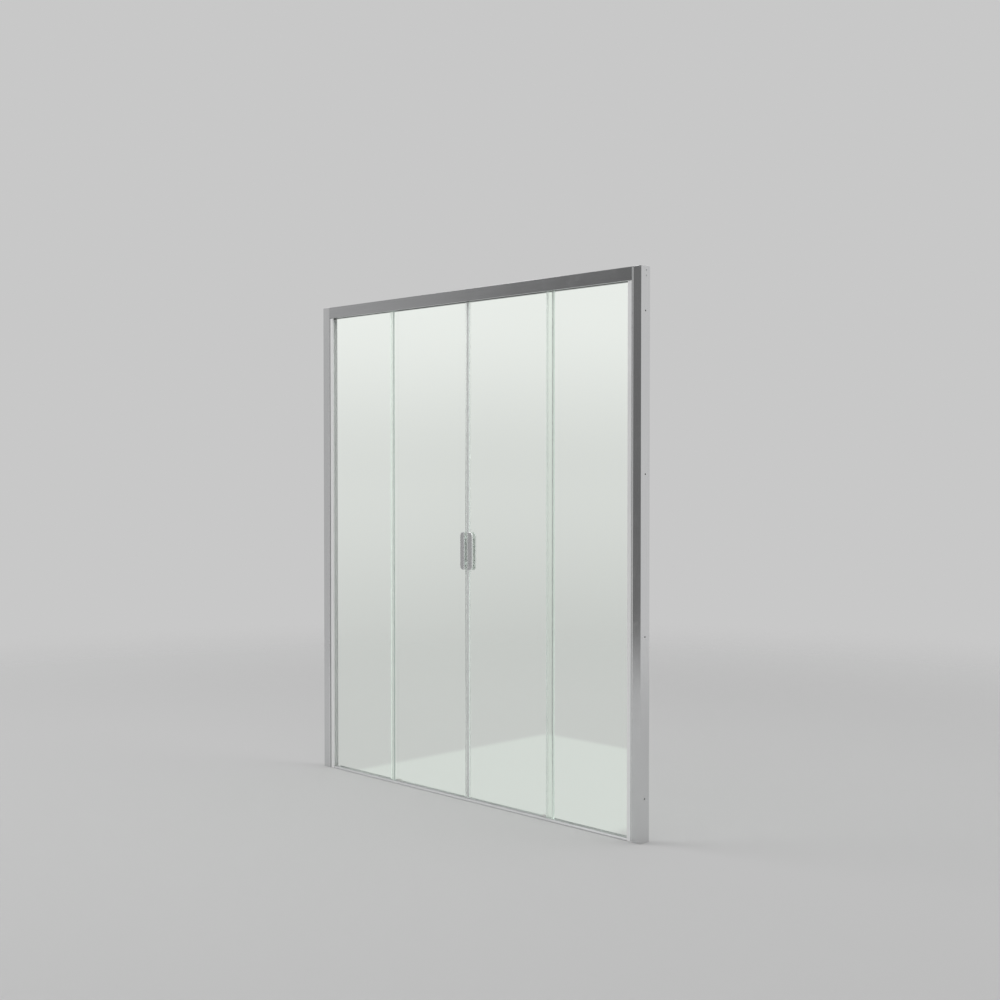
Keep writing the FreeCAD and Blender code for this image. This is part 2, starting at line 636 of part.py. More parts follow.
def top_rail():
    """Extrusion with the front face, the fixed glass's channel and the roller track."""
    body = new_body("top_rail")
    top = "ScreenHeight"
    lip_edge = f"{BACK} - TrackLip"
    lip_top = f"{UNDER_RAIL} + RailWall"
    bead_side = f"{UNDER_RAIL} + BeadRise - BeadRadius"
    channel_top = f"{UNDER_RAIL} + ChannelDepth"
    front_inner = f"{FRONT} + RailWall"
    back_inner = f"{BACK} - RailWall"
    section = [
        (FRONT, UNDER_RAIL),
        (CHANNEL_FRONT, UNDER_RAIL),
        (CHANNEL_FRONT, channel_top),
        (CHANNEL_BACK, channel_top),
        (CHANNEL_BACK, UNDER_RAIL),
        (f"{CHANNEL_BACK} + RailWeb", UNDER_RAIL),
        (f"{CHANNEL_BACK} + RailWeb", f"{channel_top} + RailWeb"),
        (front_inner, f"{channel_top} + RailWeb"),
        (front_inner, f"{top} - RailWall"),
        (back_inner, f"{top} - RailWall"),
        (back_inner, lip_top),
        (f"{BEAD_Y} + BeadRadius", lip_top),
        (f"{BEAD_Y} + BeadRadius", bead_side),
        (f"{BEAD_Y} - BeadRadius", bead_side),
        (f"{BEAD_Y} - BeadRadius", lip_top),
        (lip_edge, lip_top),
        (lip_edge, UNDER_RAIL),
        (BACK, UNDER_RAIL),
        (BACK, top),
        (FRONT, top),
    ]
    sketch = draw_outline(new_sketch(body, "YZ_Plane"), section, {12: ("BeadRadius", "left", bead_side)})
    chamber_back = f"{CHANNEL_FRONT} - RailWeb"
    draw_box(sketch, front_inner, f"{UNDER_RAIL} + RailWeb", chamber_back, channel_top)
    bar = pad(body, sketch, f"2 * {RAIL_END}", side="Symmetric")
    visible = edges_along(bar, "x", [(FRONT, top), (FRONT, UNDER_RAIL), (BACK, top)])
    round_edges(body, bar, visible, "RailRound")
    holes = new_sketch(body, "XY_Plane", top)
    for side in ("-", ""):
        for sign in ("-", "+"):
            place = f"{BRACKET_Y} {sign} BracketScrewDistance / 2"
            draw_circle(holes, f"{side}{TONGUE_SCREW_X}", place, "ScrewRadius + FitPlay")
    cut = pocket(body, holes, "RailWall")
    bevel_edges(body, cut, circles_at(cut, "z", top), "ScrewHeadRadius - ScrewRadius")
    node(body)


def rail_bracket():
    """Angle from the wall profile's web into the end of the rail."""
    body = new_body("rail_bracket_right")
    top = "ScreenHeight - RailWall - SlipPlay"
    wall_side = f"{WALL} - WallProfileWall"
    leg_inner = f"{wall_side} - BracketThickness"
    section = [
        (TONGUE_END, f"{top} - BracketThickness"),
        (leg_inner, f"{top} - BracketThickness"),
        (leg_inner, f"{top} - BracketDrop"),
        (wall_side, f"{top} - BracketDrop"),
        (wall_side, top),
        (TONGUE_END, top),
    ]
    sketch = draw_outline(new_sketch(body, "XZ_Plane", "-BracketBack"), section)
    bar = pad(body, sketch, "BracketWidth")
    bend = edges_along(bar, "y", [(leg_inner, f"{top} - BracketThickness")])
    round_edges(body, bar, bend, "BracketRound")
    tongue_holes = new_sketch(body, "XY_Plane", top)
    for sign in ("-", "+"):
        place = f"{BRACKET_Y} {sign} BracketScrewDistance / 2"
        draw_circle(tongue_holes, TONGUE_SCREW_X, place, "ScrewRadius")
    pocket(body, tongue_holes, "BracketThickness")
    leg_holes = new_sketch(body, "YZ_Plane", wall_side)
    for height in LEG_SCREW_HEIGHTS:
        draw_circle(leg_holes, BRACKET_Y, height, "ScrewRadius")
    pocket(body, leg_holes, "BracketThickness")
    both_hands(body, "rail_bracket")


def rail_gasket():
    """Gasket over the top edge of the fixed glass."""
    body = new_body("rail_gasket_right")
    foot = f"{UNDER_RAIL} + GasketBead"
    roof = f"{GLASS_TOP} + GasketThickness"
    section = [
        (CHANNEL_FRONT, foot),
        (FIXED_FRONT, foot),
        (FIXED_FRONT, GLASS_TOP),
        (FIXED_BACK, GLASS_TOP),
        (FIXED_BACK, foot),
        (CHANNEL_BACK, foot),
        (CHANNEL_BACK, roof),
        (CHANNEL_FRONT, roof),
    ]
    start = "(FixedGlassEdge + GasketBead)"
    sketch = draw_outline(new_sketch(body, "YZ_Plane", start), section)
    pad(body, sketch, f"{RAIL_END} - {start} - GasketBead")
    both_hands(body, "rail_gasket")


def glass_edges(plate, front, back):
    """The straight edges around both faces of a pane."""
    levels = [number(front), number(back)]

    def test(edge):
        if edge.Curve.TypeId != "Part::GeomLine":
            return False
        run = edge.Vertexes[-1].Point - edge.Vertexes[0].Point
        level = edge.CenterOfMass.y
        if abs(run.y) > SAME_PLACE:
            return False
        return any(abs(level - place) < SAME_PLACE for place in levels)

    return edges_of(plate, test)


def fixed_glass():
    """Pane between adjuster profile, sill and rail."""
    body = new_body("fixed_glass_right")
    sketch = new_sketch(body, "XZ_Plane", f"-{FIXED_BACK}")
    draw_box(sketch, "FixedGlassEdge", GLASS_FOOT, f"{NOSE} + FixedGlassEntry", GLASS_TOP)
    plate = pad(body, sketch, "GlassThickness")
    bevel_edges(body, plate, glass_edges(plate, FIXED_FRONT, FIXED_BACK), "GlassChamfer")
    both_hands(body, "fixed_glass")


def fixed_edge_seal():
    """Clear clip on the fixed glass's free edge, with a fin that reaches the door glass."""
    body = new_body("fixed_edge_seal_right", z=SEAL_FOOT)
    edge = "FixedGlassEdge"
    grip = f"{edge} + SealGrip"
    nose = f"{edge} - SealWall"
    leg_back = f"{FIXED_BACK} + SealWall"
    leg_front = f"{FIXED_FRONT} - SealWall"
    tip = f"{DOOR_FRONT} - SlipPlay"
    fin = f"{edge} + FinRoot"
    section = [
        (grip, leg_front),
        (grip, FIXED_FRONT),
        (edge, FIXED_FRONT),
        (edge, FIXED_BACK),
        (grip, FIXED_BACK),
        (grip, leg_back),
        (f"{fin} + FinWall", leg_back),
        (f"{fin} + FinWall + FinLean", tip),
        (f"{fin} + FinLean", tip),
        (fin, leg_back),
        (nose, leg_back),
        (nose, leg_front),
    ]
    pad(body, draw_outline(new_sketch(body, "XY_Plane"), section), SEAL_HEIGHT)
    both_hands(body, "fixed_edge_seal")


def threshold():
    """Low sill: a sloped front crest, the fixed glass's channel and a back lip."""
    body = new_body("threshold")
    front = f"{FRONT} + SillFrontSetback"
    back = f"{BACK} - SillRearSetback"
    crest = f"{CHANNEL_FRONT} - SillFrontTop"
    section = [
        (front, "0"),
        (back, "0"),
        (back, "SillRearRise"),
        (f"{back} - SillWall", "SillRearRise"),
        (f"{back} - SillWall", "SillWall"),
        (f"{CHANNEL_BACK} + SillWall", "SillWall"),
        (f"{CHANNEL_BACK} + SillWall", "SillHeight"),
        (CHANNEL_BACK, "SillHeight"),
        (CHANNEL_BACK, "SillWall"),
        (CHANNEL_FRONT, "SillWall"),
        (CHANNEL_FRONT, "SillHeight"),
        (crest, "SillHeight"),
        (front, "SillFrontToe"),
    ]
    sketch = draw_outline(new_sketch(body, "YZ_Plane"), section)
    pad(body, sketch, f"2 * ({NOSE} - SillEndGap)", side="Symmetric")
    holes = new_sketch(body, "XY_Plane", "SillWall")
    for side in ("-", ""):
        place = f"{side}({GUIDE_START} + GuideWidth / 2)"
        draw_circle(holes, place, f"{BACK} - GuideScrewSetback", "ScrewRadius")
    pocket(body, holes, "SillWall")
    node(body)


def setting_blocks():
    """Blocks in the sill's channel that carry the fixed glass."""
    body = new_body("setting_blocks_right", z="SillWall")
    sketch = new_sketch(body, "XY_Plane")
    front = f"{CHANNEL_FRONT} + BlockPlay"
    back = f"{CHANNEL_BACK} - BlockPlay"
    inner = "FixedGlassEdge + BlockInset"
    outer = f"{NOSE} - BlockInset"
    draw_box(sketch, inner, front, f"{inner} + BlockLength", back)
    draw_box(sketch, f"{outer} - BlockLength", front, outer, back)
    pad(body, sketch, "BlockThickness")
    group_both_hands("setting_blocks", [body])


def sill_seals():
    """Lip seals on the sill that reach the doors' front faces."""
    back_leg = f"{CHANNEL_BACK} + SillWall"
    strip = f"{back_leg} + LipSealWall"
    tip = f"{DOOR_FRONT} - SlipPlay"
    section = [
        (back_leg, "LipSealFoot"),
        (strip, "LipSealFoot"),
        (strip, "LipSealBend"),
        (tip, "LipSealTipLow"),
        (tip, "LipSealTipHigh"),
        (strip, "LipSealTop"),
        (back_leg, "LipSealTop"),
    ]
    middle = new_body("sill_seal_middle")
    sketch = draw_outline(new_sketch(middle, "YZ_Plane"), section)
    pad(middle, sketch, f"2 * ({GUIDE_START} - LipSealGuideGap)", side="Symmetric")
    outer = new_body("sill_seal_right")
    start = f"({GUIDE_EDGE} + LipSealGuideGap)"
    sketch = draw_outline(new_sketch(outer, "YZ_Plane", start), section)
    pad(outer, sketch, f"{NOSE} - {start} - LipSealGuideGap")
    image = mirror(outer, "sill_seal_left")
    group("sill_seals", [middle, outer, image])


def door_guide():
    """Block on the sill with a slot that the door glass runs in."""
    body = new_body("door_guide_right")
    slot_front = f"{DOOR_FRONT} - GuidePlay"
    slot_back = f"{DOOR_BACK} + GuidePlay"
    rear_cheek = f"{slot_back} + GuideRearCheek"
    section = [
        (f"{slot_front} - GuideCheek", "SillWall"),
        (f"{rear_cheek} + GuideFoot", "SillWall"),
        (f"{rear_cheek} + GuideFoot", "GuideFootTop"),
        (rear_cheek, "GuideFootTop"),
        (rear_cheek, "GuideHeight"),
        (slot_back, "GuideHeight"),
        (slot_back, "GuideSlotFloor"),
        (slot_front, "GuideSlotFloor"),
        (slot_front, "GuideHeight"),
        (f"{slot_front} - GuideCheek", "GuideHeight"),
    ]
    sketch = draw_outline(new_sketch(body, "YZ_Plane", GUIDE_START), section)
    pad(body, sketch, "GuideWidth")
    hole = new_sketch(body, "XY_Plane", "GuideFootTop")
    middle = f"{GUIDE_START} + GuideWidth / 2"
    screw_y = f"{BACK} - GuideScrewSetback"
    draw_circle(hole, middle, screw_y, "ScrewRadius + FitPlay")
    cut = pocket(body, hole, "GuideFootTop - SillWall")
    mouth = circles_at(cut, "z", "GuideFootTop")
    bevel_edges(body, cut, mouth, "ScrewHeadRadius - ScrewRadius")
    both_hands(body, "door_guide")
    screw = countersunk_screw(
        "guide_screw_right", "GuideScrewLength", middle, screw_y, "GuideFootTop", "-z"
    )
    group_both_hands("guide_screws", [screw])


def frame_screws():
    """Countersunk screws of the adjusters, the brackets and the rail."""
    height = LOCK_SCREW_HEIGHTS[0]
    lock = countersunk_screw(
        "adjuster_screws_right", "AdjusterScrewLength", LOCK_SCREW_X, BACK, height, "-y"
    )
    row = f"{LOCK_SCREW_HEIGHTS[-1]} - {LOCK_SCREW_HEIGHTS[0]}"
    repeat(lock, lock.Tip, "Z_Axis", row, len(LOCK_SCREW_HEIGHTS))
    group_both_hands("adjuster_screws", [lock])
    height = LEG_SCREW_HEIGHTS[0]
    leg = countersunk_screw(
        "bracket_screws_right", "BracketScrewLength", WALL, BRACKET_Y, height, "-x"
    )
    repeat(leg, leg.Tip, "Z_Axis", "BracketLegScrewDistance", len(LEG_SCREW_HEIGHTS))
    group_both_hands("bracket_screws", [leg])
    start = f"{BRACKET_Y} - BracketScrewDistance / 2"
    tongue = countersunk_screw(
        "tongue_screws_right", "RailScrewLength", TONGUE_SCREW_X, start, "ScreenHeight", "-z"
    )
    repeat(tongue, tongue.Tip, "Y_Axis", "BracketScrewDistance", 2)
    group_both_hands("rail_screws", [tongue])


def rail_stops():
    """Blocks under the rail's roof with rubber buffers that the carriages meet."""
    roof = "(ScreenHeight - RailWall)"
    block = new_body("stop_blocks_right", z=f"{roof} - StopRoofGap - StopHeight")
    sketch = new_sketch(block, "XY_Plane")
    low = f"{STOP_Y} - StopDepth / 2"
    high = f"{STOP_Y} + StopDepth / 2"
    for stop in (CLOSING_STOP, OPENING_STOP):
        draw_box(sketch, f"{stop} - StopLength / 2", low, f"{stop} + StopLength / 2", high)
    pad(block, sketch, "StopHeight")
    holes = new_sketch(block, "XY_Plane", "StopHeight")
    for stop in (CLOSING_STOP, OPENING_STOP):
        draw_circle(holes, stop, STOP_Y, "ScrewRadius")
    pocket(block, holes, "StopHeight")
    group_both_hands("rail_stops", [block])
    buffers = []
    starts = (f"{CLOSING_STOP} + StopLength / 2", f"{OPENING_STOP} - StopLength / 2 - BufferLength")
    for name, start in zip(("closing_buffer_right", "opening_buffer_right"), starts):
        body = new_body(name, x=start)
        sketch = new_sketch(body, "YZ_Plane")
        draw_circle(sketch, STOP_Y, f"{roof} - BufferDrop", "BufferRadius")
        pad(body, sketch, "BufferLength")
        buffers.append(body)
    group_both_hands("stop_buffers", buffers)


def door_glass():
    """Door pane, with holes for the carriages and the handle."""
    body = new_body("door_glass_right")
    sketch = new_sketch(body, "XZ_Plane", f"-{DOOR_BACK}")
    draw_box(sketch, "DoorGlassGap", "DoorFloorGap", DOOR_EDGE, f"{UNDER_RAIL} + DoorTopEntry")
    plate = pad(body, sketch, "GlassThickness")
    bevel_edges(body, plate, glass_edges(plate, DOOR_FRONT, DOOR_BACK), "GlassChamfer")
    holes = new_sketch(body, "XZ_Plane", f"-{DOOR_FRONT}")
    for carriage in (INNER_CARRIAGE, OUTER_CARRIAGE):
        for sign in ("-", "+"):
            draw_circle(holes, f"{carriage} {sign} ClampDistance / 2", CLAMP_Z, "GlassHoleRadius")
    for sign in ("-", "+"):
        height = f"HandleCentre {sign} HandleScrewDistance / 2"
        draw_circle(holes, HANDLE_MIDDLE, height, "GlassHoleRadius")
    pocket(body, holes, "GlassThickness")
    both_hands(body, "door_glass")


def magnet_seal():
    """Clip on the meeting edge with a chamber for the magnet strip."""
    body = new_body("magnet_seal_right", z=SEAL_FOOT)
    edge = "DoorGlassGap"
    grip = f"{edge} + SealGrip"
    leg_front = f"{DOOR_FRONT} - SealWall"
    leg_back = f"{DOOR_BACK} + SealWall"
    section = [
        (grip, leg_front),
        (grip, DOOR_FRONT),
        (edge, DOOR_FRONT),
        (edge, DOOR_BACK),
        (grip, DOOR_BACK),
        (grip, leg_back),
        ("MeetGap", leg_back),
        ("MeetGap", leg_front),
    ]
    sketch = draw_outline(new_sketch(body, "XY_Plane"), section)
    chamber_near = "MeetGap + MagnetWall"
    chamber_far = f"{edge} - MagnetWall"
    draw_box(sketch, chamber_near, DOOR_FRONT, chamber_far, DOOR_BACK)
    pad(body, sketch, SEAL_HEIGHT)
    both_hands(body, "magnet_seal")
    strip = new_body("magnet_strip_right", z=SEAL_FOOT)
    sketch = new_sketch(strip, "XY_Plane")
    near = f"{chamber_near} + MagnetPlay"
    far = f"{chamber_far} - MagnetPlay"
    draw_box(sketch, near, f"{DOOR_FRONT} + MagnetPlay", far, f"{DOOR_BACK} - MagnetPlay")
    pad(strip, sketch, SEAL_HEIGHT)
    both_hands(strip, "magnet_strip")


def door_rear_seal():
    """Clip on the outer edge with a fin that reaches the fixed glass."""
    body = new_body("door_rear_seal_right", z=SEAL_FOOT)
    grip = f"{DOOR_EDGE} - SealGrip"
    outside = f"{DOOR_EDGE} + SealWall"
    leg_front = f"{DOOR_FRONT} - SealWall"
    leg_back = f"{DOOR_BACK} + SealWall"
    tip = f"{FIXED_BACK} + SlipPlay"
    section = [
        (grip, leg_front),
        (f"{outside} - FinWall", leg_front),
        (f"{outside} - FinWall - RearFinLean", tip),
        (f"{outside} - RearFinLean", tip),
        (outside, leg_front),
        (outside, leg_back),
        (grip, leg_back),
        (grip, DOOR_BACK),
        (DOOR_EDGE, DOOR_BACK),
        (DOOR_EDGE, DOOR_FRONT),
        (grip, DOOR_FRONT),
    ]
    pad(body, draw_outline(new_sketch(body, "XY_Plane"), section), SEAL_HEIGHT)
    both_hands(body, "door_rear_seal")


def handle_half(name, glass_face, way):
    """One half of a handle: square towards the meeting edge, rounded away from it. The inner
    half stands on two round pads, the outer half on the flanges of the bushes."""
    body = new_body(name)
    inside = way == "in"
    base = f"({glass_face} {'+' if inside else '-'} HandleStandoff)"
    face = f"({base} {'+' if inside else '-'} HandleThickness)"
    low = "HandleCentre - HandleLength / 2"
    high = "HandleCentre + HandleLength / 2"
    outer = "HandleGap + HandleWidth"
    sketch = draw_box(new_sketch(body, "XZ_Plane", f"-{base}"), "HandleGap", low, outer, high)
    block = pad(body, sketch, "HandleThickness", back=inside)
    corners = edges_along(block, "y", [(outer, low), (outer, high)])
    bent = round_edges(body, block, corners, "HandleCorner")
    level = number(face)

    def on_face(edge):
        box = edge.BoundBox
        return max(abs(box.YMin - level), abs(box.YMax - level)) < SAME_PLACE

    round_edges(body, bent, edges_of(bent, on_face), "HandleRound")
    screws = [f"HandleCentre {sign} HandleScrewDistance / 2" for sign in ("-", "+")]
    if inside:
        pads = new_sketch(body, "XZ_Plane", f"-{base}")
        for height in screws:
            draw_circle(pads, HANDLE_MIDDLE, height, "HandleBushRadius")
        pad(body, pads, "HandleStandoff")
    holes = new_sketch(body, "XZ_Plane", f"-{glass_face if inside else base}")
    for height in screws:
        radius = "HandleScrewRadius + FitPlay" if inside else "HandleScrewRadius"
        draw_circle(holes, HANDLE_MIDDLE, height, radius)
    depth = "HandleStandoff + HandleThickness" if inside else "HandleThreadDepth"
    cut = pocket(body, holes, depth, back=not inside)
    if inside:
        mouths = circles_at(cut, "y", face)
        bevel_edges(body, cut, mouths, "HandleHeadRadius - HandleScrewRadius")
    return body


def handles():
    """The two halves of a handle with their screws and bushes."""
    outer = handle_half("handle_outer_right", DOOR_FRONT, "out")
    both_hands(outer, "handle_outer")
    inner = handle_half("handle_inner_right", DOOR_BACK, "in")
    both_hands(inner, "handle_inner")
    face = f"{DOOR_BACK} + HandleStandoff + HandleThickness"
    tip = f"{DOOR_FRONT} - HandleStandoff - HandleThreadDepth + HandleThreadSpare"
    screw = turned(
        "handle_screws_right",
        [
            ("0", tip),
            ("HandleScrewRadius", tip),
            ("HandleScrewRadius", f"{face} - HandleHeadDepth"),
            ("HandleHeadRadius", face),
            ("0", face),
        ],
        x=HANDLE_MIDDLE,
        z=HANDLE_LOW_SCREW,
    )
    repeat(screw, screw.Tip, "Z_Axis", "HandleScrewDistance", 2)
    both_hands(screw, "handle_screws")
    sleeve = bush(
        "handle_bushes_right", HANDLE_MIDDLE, HANDLE_LOW_SCREW, "HandleScrewRadius",
        "HandleBushRadius", "HandleStandoff",
    )
    repeat(sleeve, sleeve.Tip, "Z_Axis", "HandleScrewDistance", 2)
    both_hands(sleeve, "handle_bushes")


def bush(name, x, z, bolt, flange, thickness):
    """A sleeve through the glass with a flange in front of it."""
    bore = f"{bolt} + FitPlay"
    sleeve = "GlassHoleRadius - BushPlay"
    half = [
        (bore, f"{DOOR_FRONT} - {thickness}"),
        (flange, f"{DOOR_FRONT} - {thickness}"),
        (flange, DOOR_FRONT),
        (sleeve, DOOR_FRONT),
        (sleeve, f"{DOOR_BACK} - FitPlay"),
        (bore, f"{DOOR_BACK} - FitPlay"),
    ]
    return turned(name, half, x=x, z=z)


def carriage(name, x):
    """Die-cast hanger plate: its boss carries the wheel, and two bolts clamp the glass to its
    pads."""
    body = new_body(name, x=x)
    low = f"{UNDER_RAIL} + CarriageLow"
    shoulder_low = f"{UNDER_RAIL} + CarriageShoulderLow"
    shoulder_high = f"{UNDER_RAIL} + CarriageShoulderHigh"
    top = f"{UNDER_RAIL} + CarriageTop"
    outline = [
        ("-CarriageHalf + CarriageLowTaper", low),
        ("CarriageHalf - CarriageLowTaper", low),
        ("CarriageHalf", shoulder_low),
        ("CarriageHalf", shoulder_high),
        ("CarriageHalf - CarriageHighTaper", top),
        ("-CarriageHalf + CarriageHighTaper", top),
        ("-CarriageHalf", shoulder_high),
        ("-CarriageHalf", shoulder_low),
    ]
    sketch = draw_outline(new_sketch(body, "XZ_Plane", f"-{CARRIAGE_FRONT}"), outline)
    pad(body, sketch, "CarriageThickness", back=True)
    boss = draw_circle(new_sketch(body, "XZ_Plane", f"-{CARRIAGE_BACK}"), "0", AXLE_Z, "BossRadius")
    pad(body, boss, "BossLength", back=True)
    clamps = ("-ClampDistance / 2", "ClampDistance / 2")
    pads = new_sketch(body, "XZ_Plane", f"-{CARRIAGE_FRONT}")
    for place in clamps:
        draw_circle(pads, place, CLAMP_Z, "CarriagePadRadius")
    pad(body, pads, "CarriageGlassGap")
    holes = new_sketch(body, "XZ_Plane", f"-{DOOR_BACK}")
    draw_circle(holes, "0", AXLE_Z, "ScrewRadius")
    for place in clamps:
        draw_circle(holes, place, CLAMP_Z, "ClampBoltRadius")
    pocket(body, holes, "CarriageGlassGap + CarriageThickness + BossLength")
    both_hands(body, name.removesuffix("_right"))


def clamp_set():
    """Clamp bolts and glass bushes of the right-hand door."""
    head_back = f"{DOOR_FRONT} - BushFlangeThickness"
    head_front = f"{head_back} - ClampHeadThickness"
    bolt_half = [
        ("0", head_front),
        ("ClampHeadRadius", head_front),
        ("ClampHeadRadius", head_back),
        ("ClampBoltRadius", head_back),
        ("ClampBoltRadius", CARRIAGE_BACK),
        ("0", CARRIAGE_BACK),
    ]
    bolts = []
    bushes = []
    for place, middle in (("inner", INNER_CARRIAGE), ("outer", OUTER_CARRIAGE)):
        start = f"{middle} - ClampDistance / 2"
        bolt = turned(f"clamp_bolts_{place}", bolt_half, x=start, z=CLAMP_Z)
        repeat(bolt, bolt.Tip, "X_Axis", "ClampDistance", 2)
        bolts.append(bolt)
        sleeve = bush(
            f"glass_bushes_{place}", start, CLAMP_Z, "ClampBoltRadius",
            "BushFlangeRadius", "BushFlangeThickness",
        )
        repeat(sleeve, sleeve.Tip, "X_Axis", "ClampDistance", 2)
        bushes.append(sleeve)
    both_hands_of_group("clamp_bolts", bolts)
    both_hands_of_group("glass_bushes", bushes)


def both_hands_of_group(stem, members):
    """A group on the right-hand door and its mirror image on the left-hand one."""
    right = group(f"{stem}_right", members)
    node(mirror(right, f"{stem}_left"))


def wheel(name, x):
    """Nylon wheel with a running groove, turned about its axle."""
    floor = "WheelRadius - GrooveDepth"
    half = [
        ("BearingRadius + BearingPlay", "-WheelHalfWidth"),
        ("WheelRadius", "-WheelHalfWidth"),
        ("WheelRadius", "-GrooveHalf"),
        (floor, "-GrooveFloorHalf"),
        (floor, "GrooveFloorHalf"),
        ("WheelRadius", "GrooveHalf"),
        ("WheelRadius", "WheelHalfWidth"),
        ("BearingRadius + BearingPlay", "WheelHalfWidth"),
    ]
    body = turned(name, half, x=x, y=BEAD_Y, z=AXLE_Z)
    both_hands(body, name.removesuffix("_right"))


def bearings_and_axles():
    """Ball bearings and shoulder axles of the right-hand door's wheels."""
    half = [
        ("AxleRadius + BearingPlay", "-BearingHalfWidth"),
        ("BearingRadius", "-BearingHalfWidth"),
        ("BearingRadius", "BearingHalfWidth"),
        ("AxleRadius + BearingPlay", "BearingHalfWidth"),
    ]
    apart = f"{OUTER_CARRIAGE} - {INNER_CARRIAGE}"
    bearing = turned("wheel_bearings_right", half, x=INNER_CARRIAGE, y=BEAD_Y, z=AXLE_Z)
    repeat(bearing, bearing.Tip, "X_Axis", apart, 2)
    both_hands(bearing, "wheel_bearings")
    shoulder = f"{CARRIAGE_BACK} + BossLength"
    head = f"{BEAD_Y} + BearingHalfWidth"
    half = [
        ("0", CARRIAGE_FRONT),
        ("ScrewRadius", CARRIAGE_FRONT),
        ("ScrewRadius", shoulder),
        ("AxleRadius", shoulder),
        ("AxleRadius", head),
        ("AxleHeadRadius", head),
        ("AxleHeadRadius", f"{head} + AxleHeadThickness"),
        ("0", f"{head} + AxleHeadThickness"),
    ]
    axle = turned("wheel_axles_right", half, x=INNER_CARRIAGE, z=AXLE_Z)
    repeat(axle, axle.Tip, "X_Axis", apart, 2)
    both_hands(axle, "wheel_axles")


wall_profile()
profile_cap()
adjuster_profile()
glazing_gasket()
top_rail()
rail_bracket()
rail_gasket()
fixed_glass()
fixed_edge_seal()
threshold()
setting_blocks()
sill_seals()
door_guide()
frame_screws()
rail_stops()
door_glass()
magnet_seal()
door_rear_seal()
handles()
carriage("carriage_inner_right", INNER_CARRIAGE)
carriage("carriage_outer_right", OUTER_CARRIAGE)
clamp_set()
wheel("wheel_inner_right", INNER_CARRIAGE)
wheel("wheel_outer_right", OUTER_CARRIAGE)
bearings_and_axles()
doc.recompute()

# Nothing is written before every object and every shape is sound
for thing in doc.Objects:
    if "Invalid" in thing.State or "Error" in thing.State:
        raise RuntimeError(f"{thing.Name} failed: {thing.State}")
for part in nodes:
    if part.Shape.isNull() or not part.Shape.isValid() or not part.Shape.Solids:
        raise RuntimeError(f"{part.Label} has no sound shape")
for part in nodes:
    part.Shape.exportStep(f"parts/{part.Label}.step")
print(f"{len(nodes)} sub-parts, {sum(len(part.Shape.Solids) for part in nodes)} solids")
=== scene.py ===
import json
import math

import bmesh
import bpy
from bpy.props import FloatProperty, FloatVectorProperty, IntProperty, PointerProperty
from mathutils import Euler, Matrix, Vector

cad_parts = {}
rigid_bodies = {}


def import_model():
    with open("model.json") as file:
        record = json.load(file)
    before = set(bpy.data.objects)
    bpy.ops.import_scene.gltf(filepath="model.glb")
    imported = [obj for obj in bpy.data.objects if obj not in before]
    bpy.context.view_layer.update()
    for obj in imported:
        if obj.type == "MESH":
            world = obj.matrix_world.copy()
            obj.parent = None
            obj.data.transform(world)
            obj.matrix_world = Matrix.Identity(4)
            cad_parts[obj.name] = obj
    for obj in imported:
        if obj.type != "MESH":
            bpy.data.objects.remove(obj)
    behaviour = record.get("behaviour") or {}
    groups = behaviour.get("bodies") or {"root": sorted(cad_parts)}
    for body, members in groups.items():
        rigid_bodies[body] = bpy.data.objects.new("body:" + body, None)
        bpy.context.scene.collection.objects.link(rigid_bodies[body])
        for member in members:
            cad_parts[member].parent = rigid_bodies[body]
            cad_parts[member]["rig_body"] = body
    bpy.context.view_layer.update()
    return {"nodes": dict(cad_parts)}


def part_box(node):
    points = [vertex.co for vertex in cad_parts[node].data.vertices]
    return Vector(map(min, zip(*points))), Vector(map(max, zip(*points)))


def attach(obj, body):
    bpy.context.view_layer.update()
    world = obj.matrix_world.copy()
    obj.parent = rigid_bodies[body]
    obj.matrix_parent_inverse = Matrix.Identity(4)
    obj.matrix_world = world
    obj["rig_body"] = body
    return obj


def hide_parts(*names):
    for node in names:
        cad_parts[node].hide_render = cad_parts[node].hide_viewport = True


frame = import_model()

bl_info = {
    "name": "Sliding shower screen",
    "version": (1, 0, 0),
    "blender": (4, 5, 0),
    "location": "3D View > Sidebar > Shower Screen",
    "description": "Finishes, fasteners, rollers and studio for a four-panel sliding shower screen",
    "category": "Object",
}

HANDS = ("right", "left")

# Faces that meet at more than this angle keep a sharp edge between them
SHARP_ANGLE = math.radians(32)


def tint(name, value, description):
    """A colour, in linear values."""
    return FloatVectorProperty(
        name=name, description=description, default=value, subtype="COLOR", size=3, min=0, max=1
    )


def share(name, value, description):
    """A number from 0 to 1."""
    return FloatProperty(
        name=name, description=description, default=value, min=0, max=1, subtype="FACTOR"
    )


def length(name, value, description):
    """A size in metres."""
    return FloatProperty(
        name=name, description=description, default=value, min=0, unit="LENGTH", precision=5
    )


def spot(name, value, description):
    """A point in metres from the middle of the screen's foot."""
    return FloatVectorProperty(
        name=name, description=description, default=value, size=3, unit="LENGTH"
    )


